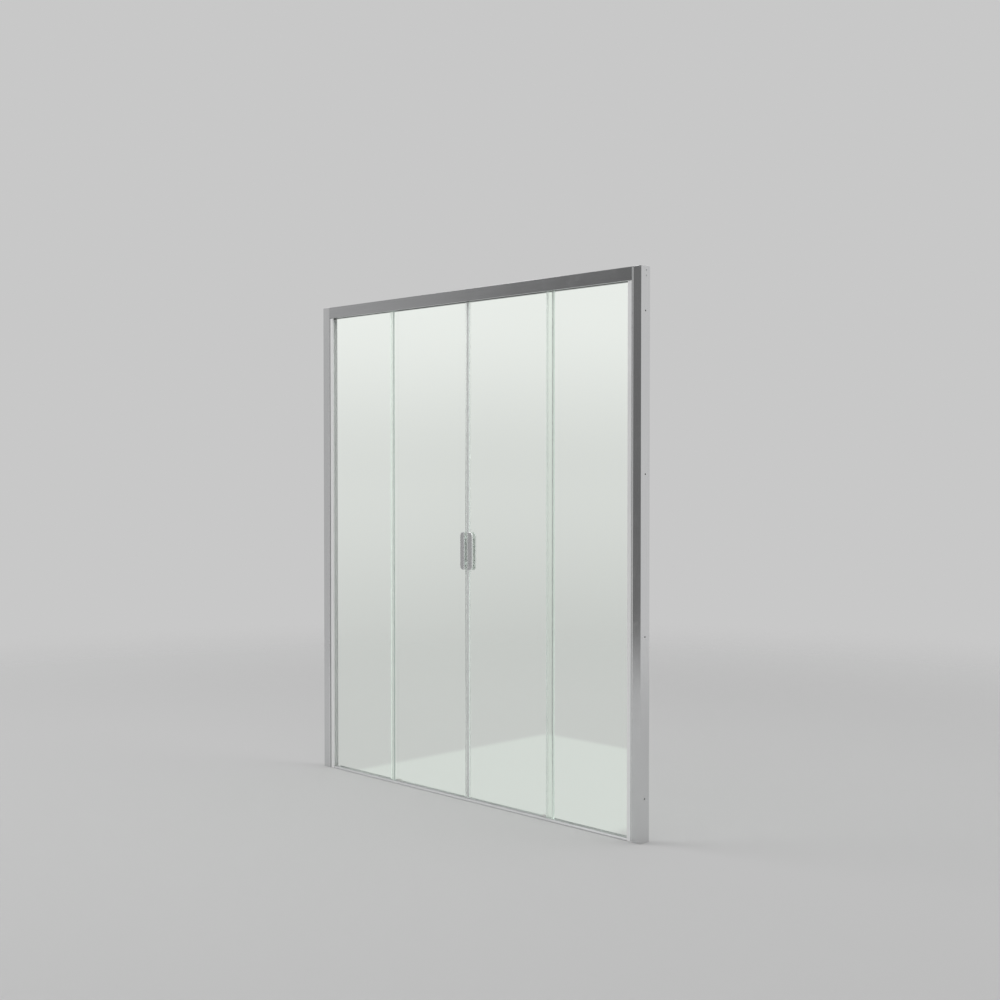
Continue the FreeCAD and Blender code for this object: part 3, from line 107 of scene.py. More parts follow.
class MetalFinish(bpy.types.PropertyGroup):
    """Colours and gloss of the extrusions, the handles, the castings and the steel."""

    rail: tint("Rail", (0.52, 0.525, 0.53), "Polished top rail")
    rail_roughness: share("Rail roughness", 0.2, "Gloss of the top rail")
    profile: tint("Wall profile", (0.72, 0.725, 0.73), "Polished wall profiles and their caps")
    profile_roughness: share("Wall profile roughness", 0.14, "Gloss of the wall profiles")
    # Painted highlight: the beads are the profiles' aluminium made lighter, for a bright line along
    # the free edges
    bead: tint("Bead", (0.84, 0.845, 0.85), "Beads along the wall profiles' free edges")
    satin: tint("Satin", (0.95, 0.955, 0.955), "Satin anodised adjuster profiles")
    sill: tint("Sill", (0.60, 0.605, 0.61), "Satin anodised sill")
    satin_roughness: share("Satin roughness", 0.38, "Gloss of the adjuster profiles")
    sill_roughness: share("Sill roughness", 0.5, "Gloss of the sill")
    chrome: tint("Chrome", (0.86, 0.865, 0.87), "Outer handles")
    chrome_roughness: share("Chrome roughness", 0.26, "Gloss of the outer handles")
    inner: tint("Inner handle", (0.95, 0.955, 0.95), "Satin handles behind the glass")
    inner_roughness: share("Inner handle roughness", 0.36, "Gloss of the handles behind the glass")
    casting: tint("Casting", (0.52, 0.52, 0.51), "Zinc roller carriages")
    steel: tint("Steel", (0.56, 0.565, 0.57), "Screws, bolts, axles, bearings, brackets and stops")


class GlassFinish(bpy.types.PropertyGroup):
    """Colours of the panes, the clear seals and the gaskets."""

    face: tint("Face", (0.946, 0.985, 0.951), "Tint through the faces of a pane")
    edge: tint("Ground edge", (0.62, 0.78, 0.72), "Tint of a pane's ground edges")
    # Painted light: the three edge emissions below light up the panes' ground edges, as a stand-in
    # for light that runs along inside a pane
    glow: tint("Edge glow", (0.16, 0.20, 0.175), "Light that a fixed pane leads to its edges")
    door_edge: tint("Door edge", (0.80, 0.90, 0.86), "Tint of the doors' ground edges")
    door_glow: tint("Door edge glow", (0.27, 0.32, 0.29), "Light that a door leads to its edges")
    rear_glow: tint("Rear edge glow", (0.42, 0.47, 0.44), "The same at the edges behind the laps")
    seal: tint("Seal", (0.92, 0.94, 0.93), "Clear seals along the edges of the panes and the sill")
    seal_cover: share("Seal cover", 0.12, "How much of the light one wall of a seal stops")
    shadow: tint("Shadow", (0.93, 0.95, 0.94), "Tint of lamp light that has passed a pane")
    magnet: tint("Magnet strip", (0.95, 0.955, 0.95), "Magnet strips inside the meeting seals")
    gasket: tint("Gasket", (0.62, 0.625, 0.63), "Gaskets of the glass in the profiles and the rail")
    # The strips beside the adjusters in this colour are painted shadow: they stand where there is
    # only the shadow of the gap
    rubber: tint("Rubber", (0.16, 0.165, 0.17), "Setting blocks, buffers and wiper strips")
    nylon: tint("Nylon", (0.74, 0.74, 0.72), "Wheels, bushes and door guides")


class FastenerSizes(bpy.types.PropertyGroup):
    """Sizes of the fasteners' heads, and of the drives that are cut into them."""

    cross_span: length("Cross span", 0.0042, "Width across a cross recess")
    cross_slot: length("Cross slot", 0.0011, "Width of one slot of the cross")
    cross_depth: length("Cross depth", 0.0011, "Depth of the cross recess")
    cross_taper: share("Cross taper", 0.55, "Width of the recess at its floor over its mouth's")
    countersink: length("Countersink", 0.0015, "Height of a countersunk screw's head")
    small_hex: length("Small socket", 0.003, "Width across the flats in a handle screw")
    small_hex_depth: length("Small socket depth", 0.0012, "Depth of a handle screw's socket")
    handle_head: length("Handle screw head", 0.002, "Height of a handle screw's head")
    large_hex: length("Large socket", 0.004, "Width across the flats in a clamp bolt")
    large_hex_depth: length("Large socket depth", 0.0012, "Depth of a clamp bolt's socket")
    hex_taper: share("Socket taper", 0.96, "Width of a socket at its floor over its mouth's")
    clamp_head: length("Clamp bolt head", 0.0018, "Height of a clamp bolt's head")
    clamp_shank: length("Clamp bolt shank", 0.003, "Radius of a clamp bolt's shank")
    clamp_tip: length("Clamp bolt tip", 0.0006, "Chamfer at a clamp bolt's tip")
    edge: length("Edge", 0.0002, "Rounding of a head's rim")


class RollerSizes(bpy.types.PropertyGroup):
    """Sizes of the wheels' moulded form and of the bearings."""

    rim_round: length("Rim rounding", 0.0006, "Rounding of a wheel's flanges")
    web_inset: length("Web inset", 0.0011, "Depth of the web between hub and rim")
    hub: length("Hub", 0.0018, "Thickness of the hub outside the bearing")
    rim: length("Rim", 0.0011, "Thickness of the rim outside the web")
    ribs: IntProperty(name="Ribs", description="Ribs across a wheel's web", default=8, min=3)
    bore: length("Bore", 0.00655, "Radius of a wheel's bore")
    groove: length("Groove", 0.0015, "Depth of the running groove")
    groove_mouth: length("Groove mouth", 0.0022, "Half the groove's width at the rim")
    groove_floor: length("Groove floor", 0.0012, "Half the groove's width at its floor")
    groove_hollow: length("Groove hollow", 0.0001, "How far the groove's floor is hollowed")
    shield_inset: length("Shield inset", 0.0004, "Depth of a bearing's shield")
    ring: length("Ring", 0.0009, "Thickness of a bearing's rings")
    axle: length("Axle", 0.00255, "Radius of a bearing's bore")


class TrimSizes(bpy.types.PropertyGroup):
    """Sizes of the black strips of painted shadow and the lightened beads of painted highlight
    where the adjusters slide into the wall profiles.
    """

    wiper_width: length("Wiper width", 0.0032, "Width of a wiper beside the wall profile")
    wiper_proud: length("Wiper height", 0.0006, "How far a wiper stands in front of the adjuster")
    bead_width: length("Bead width", 0.0056, "Width of the bead on the wall profile's edge")
    bead_proud: length("Bead height", 0.0014, "How far the bead stands in front of the profile")
    bead_edge: length("Bead place", 0.0006, "From the wall profile's free edge to the bead")
    sink: length("Sink", 0.0002, "How far a trim reaches into the face that carries it")
    short: length("Short", 0.0010, "How far a trim ends inside its profile's ends")


class EdgeSizes(bpy.types.PropertyGroup):
    """How far the sharp edges of the CAD pieces are softened."""

    extrusion: length("Extrusions", 0.0003, "Edges of rail, adjusters, caps and sill")
    casting: length("Castings", 0.0005, "Edges of the roller carriages")
    fitting: length("Fittings", 0.0003, "Edges of brackets, stops and door guides")
    pane: length("Panes", 0.0005, "Arris of the glass")


class StageSettings(bpy.types.PropertyGroup):
    """Camera, floor, backdrop and lamps."""

    camera_place: spot("Camera", (3.880, -3.621, 1.262), "Where the camera stands")
    camera_turn: FloatVectorProperty(
        name="Camera turn", description="Which way the camera looks", size=3, unit="ROTATION",
        default=(math.radians(88.786), 0, math.radians(45.66)),
    )
    lens: FloatProperty(name="Lens", description="Focal length", default=50, unit="CAMERA")
    backdrop: tint("Backdrop", (0.578, 0.578, 0.578), "Colour behind the object")
    beyond_high: tint("High beyond", (0.89, 0.89, 0.88), "Light seen through the glass, high up")
    beyond_low: tint("Low beyond", (0.60, 0.60, 0.595), "Light seen through the glass, low down")
    floor: tint("Floor", (0.62, 0.62, 0.62), "Colour of the floor")
    floor_near: length("Solid floor", 2.2, "Radius in which the floor is solid")
    floor_far: length("Faded floor", 6.5, "Radius at which the floor has faded")
    floor_gap: length("Floor gap", 0.0005, "How far the floor lies below the screen")
    tray: tint("Shower floor", (0.70, 0.72, 0.70), "Shower floor as the glass shows it")
    tray_half: length("Shower floor half width", 0.71, "Middle of the screen to its side")
    tray_depth: length("Shower floor depth", 1.18, "Middle of the screen to its back")
    tray_soft: length("Shower floor edge", 0.04, "Width in which the shower floor fades")
    ambient: share("Ambient", 0.66, "Light from all round")
    shade: share("Shade", 0.16, "Light of the dark side of the room, as metal and glass reflect it")
    dark_side: FloatVectorProperty(
        name="Dark side", description="Which way the dark side of the room lies", size=3,
        subtype="DIRECTION", default=(-0.45, -0.89, 0),
    )
    key: FloatProperty(name="Key", description="Soft lamp at the left", default=70, unit="POWER")
    key_place: spot("Key place", (-3.0, -2.4, 5.3), "Where the lamp at the left hangs")
    fill: FloatProperty(name="Fill", description="Soft lamp at the right", default=30, unit="POWER")
    fill_place: spot("Fill place", (2.9, 2.3, 4.8), "Where the lamp at the right hangs")
    lamp_aim: spot("Lamp aim", (0, 0, 1), "Where both lamps point")
    lamp_size: length("Lamp size", 2.6, "Side of a lamp's square")


SETTINGS = {
    "screen_metal": MetalFinish,
    "screen_glass": GlassFinish,
    "screen_fasteners": FastenerSizes,
    "screen_rollers": RollerSizes,
    "screen_trims": TrimSizes,
    "screen_edges": EdgeSizes,
    "screen_stage": StageSettings,
}


def hands(*stems):
    """The right-hand and left-hand nodes of some kinds of piece."""
    return [f"{stem}_{hand}" for stem in stems for hand in HANDS]


# Shader nodes, and groups of them that several materials share


def add_node(tree, kind, inputs=None, **settings):
    """A node with its settings. inputs gives its sockets a value, or another node's output."""
    node = tree.nodes.new(kind)
    for label, value in settings.items():
        setattr(node, label, value)
    for socket, value in (inputs or {}).items():
        if isinstance(value, bpy.types.NodeSocket):
            tree.links.new(value, node.inputs[socket])
        else:
            node.inputs[socket].default_value = value
    return node


def calculated(tree, operation, *values):
    """One step of arithmetic."""
    inputs = dict(enumerate(values))
    return add_node(tree, "ShaderNodeMath", inputs, operation=operation).outputs["Value"]


def mixed(tree, mask, first, second):
    """One shader that goes over into another."""
    inputs = {"Fac": mask, 1: first, 2: second}
    return add_node(tree, "ShaderNodeMixShader", inputs).outputs["Shader"]


def mixed_colour(tree, mask, first, second):
    """One colour that goes over into another. Both may be colours or a node's output."""
    # In this node the sockets 6, 7 and 2 are the ones for colours
    inputs = {"Factor": mask}
    for socket, colour in ((6, first), (7, second)):
        linked = isinstance(colour, bpy.types.NodeSocket)
        inputs[socket] = colour if linked else (*colour, 1)
    return add_node(tree, "ShaderNodeMix", inputs, data_type="RGBA").outputs[2]


def object_place(tree):
    """Where a point of the surface lies, in metres from the middle of the screen's foot."""
    return add_node(tree, "ShaderNodeTexCoord").outputs["Object"]


def rise(tree, value, low, high, kind="SMOOTHSTEP"):
    """Goes from 0 to 1 while the value goes from low to high."""
    inputs = {"Value": value, "From Min": low, "From Max": high}
    return add_node(tree, "ShaderNodeMapRange", inputs, interpolation_type=kind).outputs["Result"]


def new_group(name, inputs, outputs):
    """An empty shader group, what it is given and the sockets of its results. inputs maps a
    name to its usual value. All outputs are numbers."""
    tree = bpy.data.node_groups.new(name, "ShaderNodeTree")
    for label, value in inputs.items():
        kind = "NodeSocketVector" if isinstance(value, tuple) else "NodeSocketFloat"
        tree.interface.new_socket(label, in_out="INPUT", socket_type=kind).default_value = value
    for label in outputs:
        tree.interface.new_socket(label, in_out="OUTPUT", socket_type="NodeSocketFloat")
    given = add_node(tree, "NodeGroupInput").outputs
    return tree, given, add_node(tree, "NodeGroupOutput").inputs


def shared_group(build):
    """The group that a function builds, made the first time it is asked for."""
    name = build.__name__.replace("_", " ").capitalize()
    return bpy.data.node_groups.get(name) or build(name)


def drawing_lines(name):
    """Fine lines that a die leaves along an extrusion."""
    tree, given, result = new_group(name, {"Stretch": (1, 1, 1), "Scale": 900}, ["Lines"])
    place = object_place(tree)
    inputs = {0: place, 1: given["Stretch"]}
    squeeze = add_node(tree, "ShaderNodeVectorMath", inputs, operation="MULTIPLY")
    inputs = {"Vector": squeeze.outputs["Vector"], "Scale": given["Scale"], "Detail": 2}
    lines = add_node(tree, "ShaderNodeTexNoise", inputs)
    tree.links.new(lines.outputs["Fac"], result["Lines"])
    return tree


def metal_grain(name):
    """The fine etched grain of an anodised or plated surface, and slow cloudiness over it."""
    usual = {"Grain scale": 1500, "Cloud scale": 5}
    tree, given, result = new_group(name, usual, ["Grain", "Cloud"])
    place = object_place(tree)
    for label, detail in (("Grain", 1), ("Cloud", 3)):
        inputs = {"Vector": place, "Scale": given[f"{label} scale"], "Detail": detail}
        noise = add_node(tree, "ShaderNodeTexNoise", inputs)
        tree.links.new(noise.outputs["Fac"], result[label])
    return tree


def handling_marks(name):
    """Faint smears where hands and cloths have been: a mask from 0 to 1."""
    tree, given, result = new_group(name, {"Scale": 14, "Cover": 0.45}, ["Marks"])
    smear_edge = 0.3
    place = object_place(tree)
    inputs = {"Vector": place, "Scale": given["Scale"], "Detail": 4, "Distortion": 1.2}
    smear = add_node(tree, "ShaderNodeTexNoise", inputs)
    full = calculated(tree, "ADD", given["Cover"], smear_edge)
    marks = rise(tree, smear.outputs["Fac"], given["Cover"], full)
    tree.links.new(marks, result["Marks"])
    return tree


def ground_edges(name):
    """Edges is 1 on the edges and holes of a pane, 0 on its two faces. Away rises from 0 to 1
    with the distance from the middle of the screen."""
    tree, _, result = new_group(name, {}, ["Edges", "Away"])
    surface = add_node(tree, "ShaderNodeNewGeometry").outputs["True Normal"]
    place = object_place(tree)
    # What each mask is worked out from, and the sizes at which it is 0 and 1
    masks = (("Edges", surface, "Y", 0.9, 0.6), ("Away", place, "X", 0.1, 0.4))
    for label, vector, axis, none, full in masks:
        parts = add_node(tree, "ShaderNodeSeparateXYZ", {"Vector": vector})
        size = calculated(tree, "ABSOLUTE", parts.outputs[axis])
        mask = rise(tree, size, none, full, kind="LINEAR")
        tree.links.new(mask, result[label])
    return tree


def dimmed(colour, factor):
    """The same colour, lighter or darker."""
    return tuple(min(part * factor, 1) for part in colour)


class Finish:
    """One material being put together around its Principled shader."""

    def __init__(self, name, colour, roughness, metallic=0.0):
        self.colour = colour
        self.material = bpy.data.materials.new(name)
        self.material.use_nodes = True
        self.material.diffuse_color = (*colour, 1)
        self.tree = self.material.node_tree
        self.tree.nodes.clear()
        self.output = add_node(self.tree, "ShaderNodeOutputMaterial")
        self.shader = add_node(self.tree, "ShaderNodeBsdfPrincipled", {
            "Base Color": (*colour, 1), "Roughness": roughness, "Metallic": metallic,
        })
        self.surface = self.shader.outputs["BSDF"]
        self.show(self.surface)

    def show(self, shader):
        """Make a shader what the surface shows."""
        self.tree.links.new(shader, self.output.inputs["Surface"])

    def set(self, socket, value):
        """Give the Principled shader a value that is the same all over the surface."""
        self.shader.inputs[socket].default_value = value

    def feed(self, socket, source):
        """Give it a value that changes over the surface."""
        self.tree.links.new(source, self.shader.inputs[socket])

    def group(self, build, **values):
        """The outputs of a shared group that has this material's own values."""
        inputs = {label.replace("_", " "): value for label, value in values.items()}
        tree = shared_group(build)
        return add_node(self.tree, "ShaderNodeGroup", inputs, node_tree=tree).outputs

    def spread(self, mask, socket, low, high):
        """Feed a number socket from a mask, between two values."""
        inputs = {"Value": mask, "To Min": low, "To Max": high}
        self.feed(socket, add_node(self.tree, "ShaderNodeMapRange", inputs).outputs["Result"])

    def blend(self, mask, first, second, socket="Base Color"):
        """Feed a colour socket from a mask, between two colours."""
        self.feed(socket, mixed_colour(self.tree, mask, first, second))

    def vary(self, mask, dark, light):
        """Let the colour go from a darker to a lighter tone of itself."""
        self.blend(mask, dimmed(self.colour, dark), dimmed(self.colour, light))

    def plus(self, first, second, weight):
        """One value, and a share of another."""
        return calculated(self.tree, "MULTIPLY_ADD", second, weight, first)

    def bump(self, height, distance, strength):
        """A bump of a few hundredths of a millimetre."""
        inputs = {"Height": height, "Distance": distance, "Strength": strength}
        self.feed("Normal", add_node(self.tree, "ShaderNodeBump", inputs).outputs["Normal"])

    def grained(self, grain, cloud, tones, gloss, distance, strength):
        """A cloudy colour, and a fine grain in the gloss and in the surface."""
        skin = self.group(metal_grain, Grain_scale=grain, Cloud_scale=cloud)
        self.vary(skin["Cloud"], *tones)
        self.spread(skin["Grain"], "Roughness", *gloss)
        self.bump(skin["Grain"], distance, strength)

    def let_lamps_through(self, colour):
        """Light from the lamps passes the glass without a black shadow."""
        clear = add_node(self.tree, "ShaderNodeBsdfTransparent", {"Color": (*colour, 1)})
        lamp = add_node(self.tree, "ShaderNodeLightPath").outputs["Is Shadow Ray"]
        self.show(mixed(self.tree, lamp, self.surface, clear.outputs["BSDF"]))


def extruded_metal(name, colour, roughness, along, metallic=1.0, grain=0.0):
    """Drawn aluminium: die lines along the bar, fine grain, and smears in the gloss."""
    finish = Finish(name, colour, roughness, metallic)
    drawn_out = 0.004
    stretch = tuple(drawn_out if axis == along else 1 for axis in "xyz")
    lines = finish.group(drawing_lines, Stretch=stretch, Scale=1100)
    skin = finish.group(metal_grain, Grain_scale=1700, Cloud_scale=4)
    marks = finish.group(handling_marks, Scale=9, Cover=0.5)
    mottled = finish.plus(lines["Lines"], skin["Grain"], weight=grain)
    finish.vary(mottled, dark=0.94 - 0.2 * grain, light=1.06 + 0.2 * grain)
    worn = finish.plus(skin["Cloud"], marks["Marks"], weight=0.6)
    finish.spread(worn, "Roughness", low=roughness * 0.75, high=roughness * 1.3)
    finish.bump(lines["Lines"], distance=0.00001, strength=0.25)
    return finish.material


def bright_plate(name, colour, roughness, metallic=1.0):
    """Plated or satin metal with the faint smears of fingers."""
    finish = Finish(name, colour, roughness, metallic)
    skin = finish.group(metal_grain, Grain_scale=900, Cloud_scale=40)
    marks = finish.group(handling_marks, Scale=55, Cover=0.42)
    finish.vary(skin["Grain"], dark=0.97, light=1.03)
    finish.spread(marks["Marks"], "Roughness", low=roughness, high=roughness + 0.04)
    finish.bump(skin["Grain"], distance=0.00001, strength=0.1)
    return finish.material


def cast_zinc(name, colour):
    """Die-cast skin: slightly rough, with flow marks."""
    finish = Finish(name, colour, roughness=0.42, metallic=1.0)
    finish.grained(
        grain=1200, cloud=60, tones=(0.82, 1.15), gloss=(0.34, 0.55),
        distance=0.00004, strength=0.5,
    )
    return finish.material


def turned_steel(name, colour):
    """Stainless steel of screws, axles, bearings and brackets."""
    finish = Finish(name, colour, roughness=0.28, metallic=1.0)
    finish.grained(
        grain=2600, cloud=120, tones=(0.9, 1.12), gloss=(0.2, 0.36),
        distance=0.00001, strength=0.3,
    )
    return finish.material


def clear_glass(name, glass, edge, glow, rear_glow):
    """Toughened glass with very faint smears. Its ground edges are greener and slightly matt, and
    send out painted light: an emission that stands in for the light that runs along inside a pane."""
    finish = Finish(name, glass.face, roughness=0.0)
    finish.set("IOR", 1.52)
    finish.set("Transmission Weight", 1.0)
    ground = finish.group(ground_edges)
    marks = finish.group(handling_marks, Scale=5, Cover=0.5)
    finish.blend(ground["Edges"], glass.face, edge)
    matt = finish.plus(ground["Edges"], marks["Marks"], weight=0.03)
    finish.spread(matt, "Roughness", low=0.0, high=0.22)
    # Painted light: the ground edges emit light, more at the doors' edges away from the middle of
    # the screen
    painted_edge_light = mixed_colour(finish.tree, ground["Away"], glow, rear_glow)
    finish.blend(ground["Edges"], (0, 0, 0), painted_edge_light, "Emission Color")
    finish.set("Emission Strength", 1.0)
    finish.let_lamps_through(glass.shadow)
    return finish.material


def clear_seal(name, colour, cover):
    """Thin clear plastic: a light haze on each of its walls."""
    finish = Finish(name, colour, roughness=0.2)
    finish.set("IOR", 1.45)
    lines = finish.group(drawing_lines, Stretch=(1, 1, 0.02), Scale=420)
    skin = finish.group(metal_grain, Grain_scale=400, Cloud_scale=30)
    finish.vary(skin["Cloud"], dark=0.93, light=1.07)
    finish.spread(skin["Cloud"], "Roughness", low=0.14, high=0.28)
    finish.spread(lines["Lines"], "Alpha", low=cover * 0.75, high=cover * 1.25)
    return finish.material


def soft_rubber(name, colour, roughness):
    """Matt rubber with a powdery skin."""
    finish = Finish(name, colour, roughness)
    finish.set("Specular IOR Level", 0.35)
    finish.grained(
        grain=1500, cloud=45, tones=(0.8, 1.25), gloss=(roughness - 0.1, roughness + 0.12),
        distance=0.00005, strength=0.4,
    )
    return finish.material


def moulded_nylon(name, colour):
    """Injection-moulded nylon: waxy, with a fine spark texture."""
    finish = Finish(name, colour, roughness=0.42)
    finish.set("Subsurface Weight", 0.15)
    finish.set("Subsurface Radius", (0.002, 0.002, 0.0018))
    finish.grained(
        grain=1900, cloud=70, tones=(0.94, 1.05), gloss=(0.34, 0.5),
        distance=0.00003, strength=0.4,
    )
    return finish.material


def dress(names, material):
    """Give CAD nodes a finish."""
    for name in names:
        mesh = frame["nodes"][name].data
        mesh.materials.clear()
        mesh.materials.append(material)


# Detailed pieces that stand for plain solids


def solids_in(name):
    """The lowest and highest corner of each separate solid in a CAD node, in order along it."""
    mesh = bmesh.new()
    mesh.from_mesh(frame["nodes"][name].data)
    bmesh.ops.remove_doubles(mesh, verts=mesh.verts, dist=0.000001)
    left = set(mesh.verts)
    boxes = []
    while left:
        queue = [left.pop()]
        places = []
        while queue:
            vertex = queue.pop()
            places.append(vertex.co.copy())
            for edge in vertex.link_edges:
                other = edge.other_vert(vertex)
                if other in left:
                    left.remove(other)
                    queue.append(other)
        low = Vector([min(place[axis] for place in places) for axis in range(3)])
        high = Vector([max(place[axis] for place in places) for axis in range(3)])
        boxes.append((low, high))
    mesh.free()
    return sorted(boxes, key=lambda corners: tuple(corners[0]))


def ring(mesh, radius, level, count, lift=None):
    """A circle of points about Z. lift changes a point's height by its angle."""
    points = []
    for step in range(count):
        angle = 2 * math.pi * step / count
        height = level + (lift(angle) if lift else 0)
        points.append(mesh.verts.new((radius * math.cos(angle), radius * math.sin(angle), height)))
    return points


def bridge(mesh, first, second):
    """Quads between two closed rows of points."""
    count = len(first)
    for step in range(count):
        after = (step + 1) % count
        mesh.faces.new((first[step], first[after], second[after], second[step]))


def lathe(mesh, profile, count, closed=False):
    """A turned form about Z from (radius, height) or (radius, height, lift) points."""
    rows = [ring(mesh, *point[:2], count, *point[2:]) for point in profile]
    for row, after in zip(rows, rows[1:]):
        bridge(mesh, row, after)
    if closed:
        bridge(mesh, rows[-1], rows[0])
    return rows


def turned(profile, count):
    """A closed turned form about Z, such as a ring."""
    mesh = bmesh.new()
    lathe(mesh, profile, count, closed=True)
    bmesh.ops.recalc_face_normals(mesh, faces=mesh.faces)
    return mesh


def cross(span, slot):
    """The corners of a cross recess, going round."""
    far, near = span / 2, slot / 2
    quarter = [(far, -near), (far, near), (near, near)]
    corners = []
    for turn in range(4):
        angle = turn * math.pi / 2
        for x, y in quarter:
            corners.append((
                x * math.cos(angle) - y * math.sin(angle),
                x * math.sin(angle) + y * math.cos(angle),
            ))
    return corners


def hexagon(across):
    """The corners of a hexagonal socket."""
    radius = across / math.sqrt(3)
    angles = [math.radians(60 * step) for step in range(6)]
    return [(radius * math.cos(angle), radius * math.sin(angle)) for angle in angles]


def drive(mesh, rim, corners, depth, taper):
    """Close a head's face, leaving a recess of the given outline in it."""
    level = rim[0].co.z
    mouth = [mesh.verts.new((x, y, level)) for x, y in corners]
    floor = [mesh.verts.new((x * taper, y * taper, level - depth)) for x, y in corners]
    bridge(mesh, floor, mouth)
    mesh.faces.new(floor)
    loops = []
    for row in (rim, mouth):
        for step, point in enumerate(row):
            after = row[(step + 1) % len(row)]
            loops.append(mesh.edges.get((point, after)) or mesh.edges.new((point, after)))
    bmesh.ops.triangle_fill(mesh, edges=loops, use_beauty=True)


def countersunk(reach, head, sink, edge, tip):
    """The profile of a countersunk fastener, from its tip to its face. tip is the chamfer at
    the tip as a share of the shank's radius."""
    shank = head - sink
    lip = edge * 0.6
    return [
        (shank * (1 - tip), -reach),
        (shank, -reach + shank * tip),
        (shank, -sink),
        (head - edge, -edge),
        (head, -lip),
        (head - lip, 0),
    ]


def fastener(profile, corners, depth, taper, count=32):
    """A screw or bolt whose head faces +Z at height 0."""
    mesh = bmesh.new()
    rows = lathe(mesh, profile, count)
    mesh.faces.new(rows[0])
    drive(mesh, rows[-1], corners, depth, taper)
    bmesh.ops.recalc_face_normals(mesh, faces=mesh.faces)
    return mesh


def copies(name, mesh, places=(Matrix.Identity(4),)):
    """One object that holds a copy of the form at each place."""
    whole = bmesh.new()
    data = bpy.data.meshes.new(name)
    mesh.to_mesh(data)
    for place in places:
        part = data.copy()
        part.transform(place)
        whole.from_mesh(part)
        bpy.data.meshes.remove(part)
    mesh.free()
    whole.to_mesh(data)
    whole.free()
    data.shade_smooth()
    data.set_sharp_from_angle(angle=SHARP_ANGLE)
    thing = bpy.data.objects.new(name, data)
    bpy.context.scene.collection.objects.link(thing)
    return thing


def stand_in(thing, node, material):
    """The piece takes a CAD node's place, on its body and with its finish."""
    thing.data.materials.append(material)
    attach(thing, frame["nodes"][node]["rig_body"])
    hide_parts(node)


def heads_of(node, axis, sign):
    """A matrix for each fastener in a node: +Z comes out of its head at the head's face."""
    normal = Vector([sign if index == axis else 0 for index in range(3)])
    turn = Vector((0, 0, 1)).rotation_difference(normal).to_matrix().to_4x4()
    places = []
    for low, high in solids_in(node):
        middle = (low + high) / 2
        middle[axis] = high[axis] if sign > 0 else low[axis]
        places.append(Matrix.Translation(middle) @ turn)
    return places


def fastener_size(node, axis):
    """Length of the fasteners in a node, and the radius of their heads."""
    low, high = solids_in(node)[0]
    side = high[(axis + 1) % 3] - low[(axis + 1) % 3]
    return high[axis] - low[axis], side / 2


class ScreenOperator:
    """What all the steps of this file share."""

    bl_options = {"REGISTER", "UNDO"}


class SCREEN_OT_metal(ScreenOperator, bpy.types.Operator):
    """Give the extrusions, caps, handles and castings their metal finishes"""

    bl_idname = "shower_screen.metal"
    bl_label = "Metal Finishes"

    def execute(self, context):
        metal = context.scene.screen_metal
        rail = extruded_metal("rail aluminium", metal.rail, metal.rail_roughness, "x", grain=0.5)
        dress(["top_rail"], rail)
        profile = extruded_metal(
            "profile aluminium", metal.profile, metal.profile_roughness, "z", grain=0.2
        )
        dress(hands("wall_profile", "profile_cap"), profile)
        upright = extruded_metal(
            "satin upright", metal.satin, metal.satin_roughness, "z", metallic=0.35, grain=0.2
        )
        dress(hands("adjuster_profile"), upright)
        sill = extruded_metal(
            "satin sill", metal.sill, metal.sill_roughness, "x", metallic=0.5, grain=0.2
        )
        dress(["threshold"], sill)
        outer = bright_plate("handle chrome", metal.chrome, metal.chrome_roughness)
        dress(hands("handle_outer"), outer)
        inner = bright_plate("inner handle satin", metal.inner, metal.inner_roughness, metallic=0.3)
        dress(hands("handle_inner"), inner)
        dress(hands("carriage_inner", "carriage_outer"), cast_zinc("cast zinc", metal.casting))
        steel = turned_steel("bracket steel", metal.steel)
        dress(hands("rail_bracket", "wheel_axles") + ["rail_stops"], steel)
        return {"FINISHED"}


class SCREEN_OT_glass(ScreenOperator, bpy.types.Operator):
    """Give the panes, seals, gaskets and nylon pieces their finishes"""

    bl_idname = "shower_screen.glass"
    bl_label = "Glass and Seals"

    def execute(self, context):
        glass = context.scene.screen_glass
        # The panes' ground edges send out painted light
        panes = clear_glass("toughened glass", glass, glass.edge, glass.glow, glass.glow)
        dress(hands("fixed_glass"), panes)
        doors = clear_glass("door glass", glass, glass.door_edge, glass.door_glow, glass.rear_glow)
        dress(hands("door_glass"), doors)
        seal = clear_seal("clear seal", glass.seal, glass.seal_cover)
        dress(hands("fixed_edge_seal", "magnet_seal", "door_rear_seal") + ["sill_seals"], seal)
        magnet = soft_rubber("magnet strip", glass.magnet, roughness=0.6)
        dress(hands("magnet_strip"), magnet)
        gasket = soft_rubber("gasket rubber", glass.gasket, roughness=0.6)
        dress(hands("glazing_gasket", "rail_gasket"), gasket)
        black = soft_rubber("black rubber", glass.rubber, roughness=0.65)
        dress(["setting_blocks", "stop_buffers"], black)
        nylon = moulded_nylon("white nylon", glass.nylon)
        dress(hands("glass_bushes", "handle_bushes", "door_guide"), nylon)
        return {"FINISHED"}


def soften(names, width, segments=2):
    """Round the sharp edges of CAD nodes as they are shown."""
    for name in names:
        piece = frame["nodes"][name]
        weld = piece.modifiers.new("joined corners", "WELD")
        weld.merge_threshold = 0.00001
        flat = piece.modifiers.new("whole faces", "DECIMATE")
        flat.decimate_type = "DISSOLVE"
        flat.angle_limit = math.radians(0.5)
        bevel = piece.modifiers.new("soft edges", "BEVEL")
        bevel.width = width
        bevel.segments = segments
        bevel.limit_method = "ANGLE"
        bevel.angle_limit = math.radians(40)
        bevel.use_clamp_overlap = False
        bevel.harden_normals = True


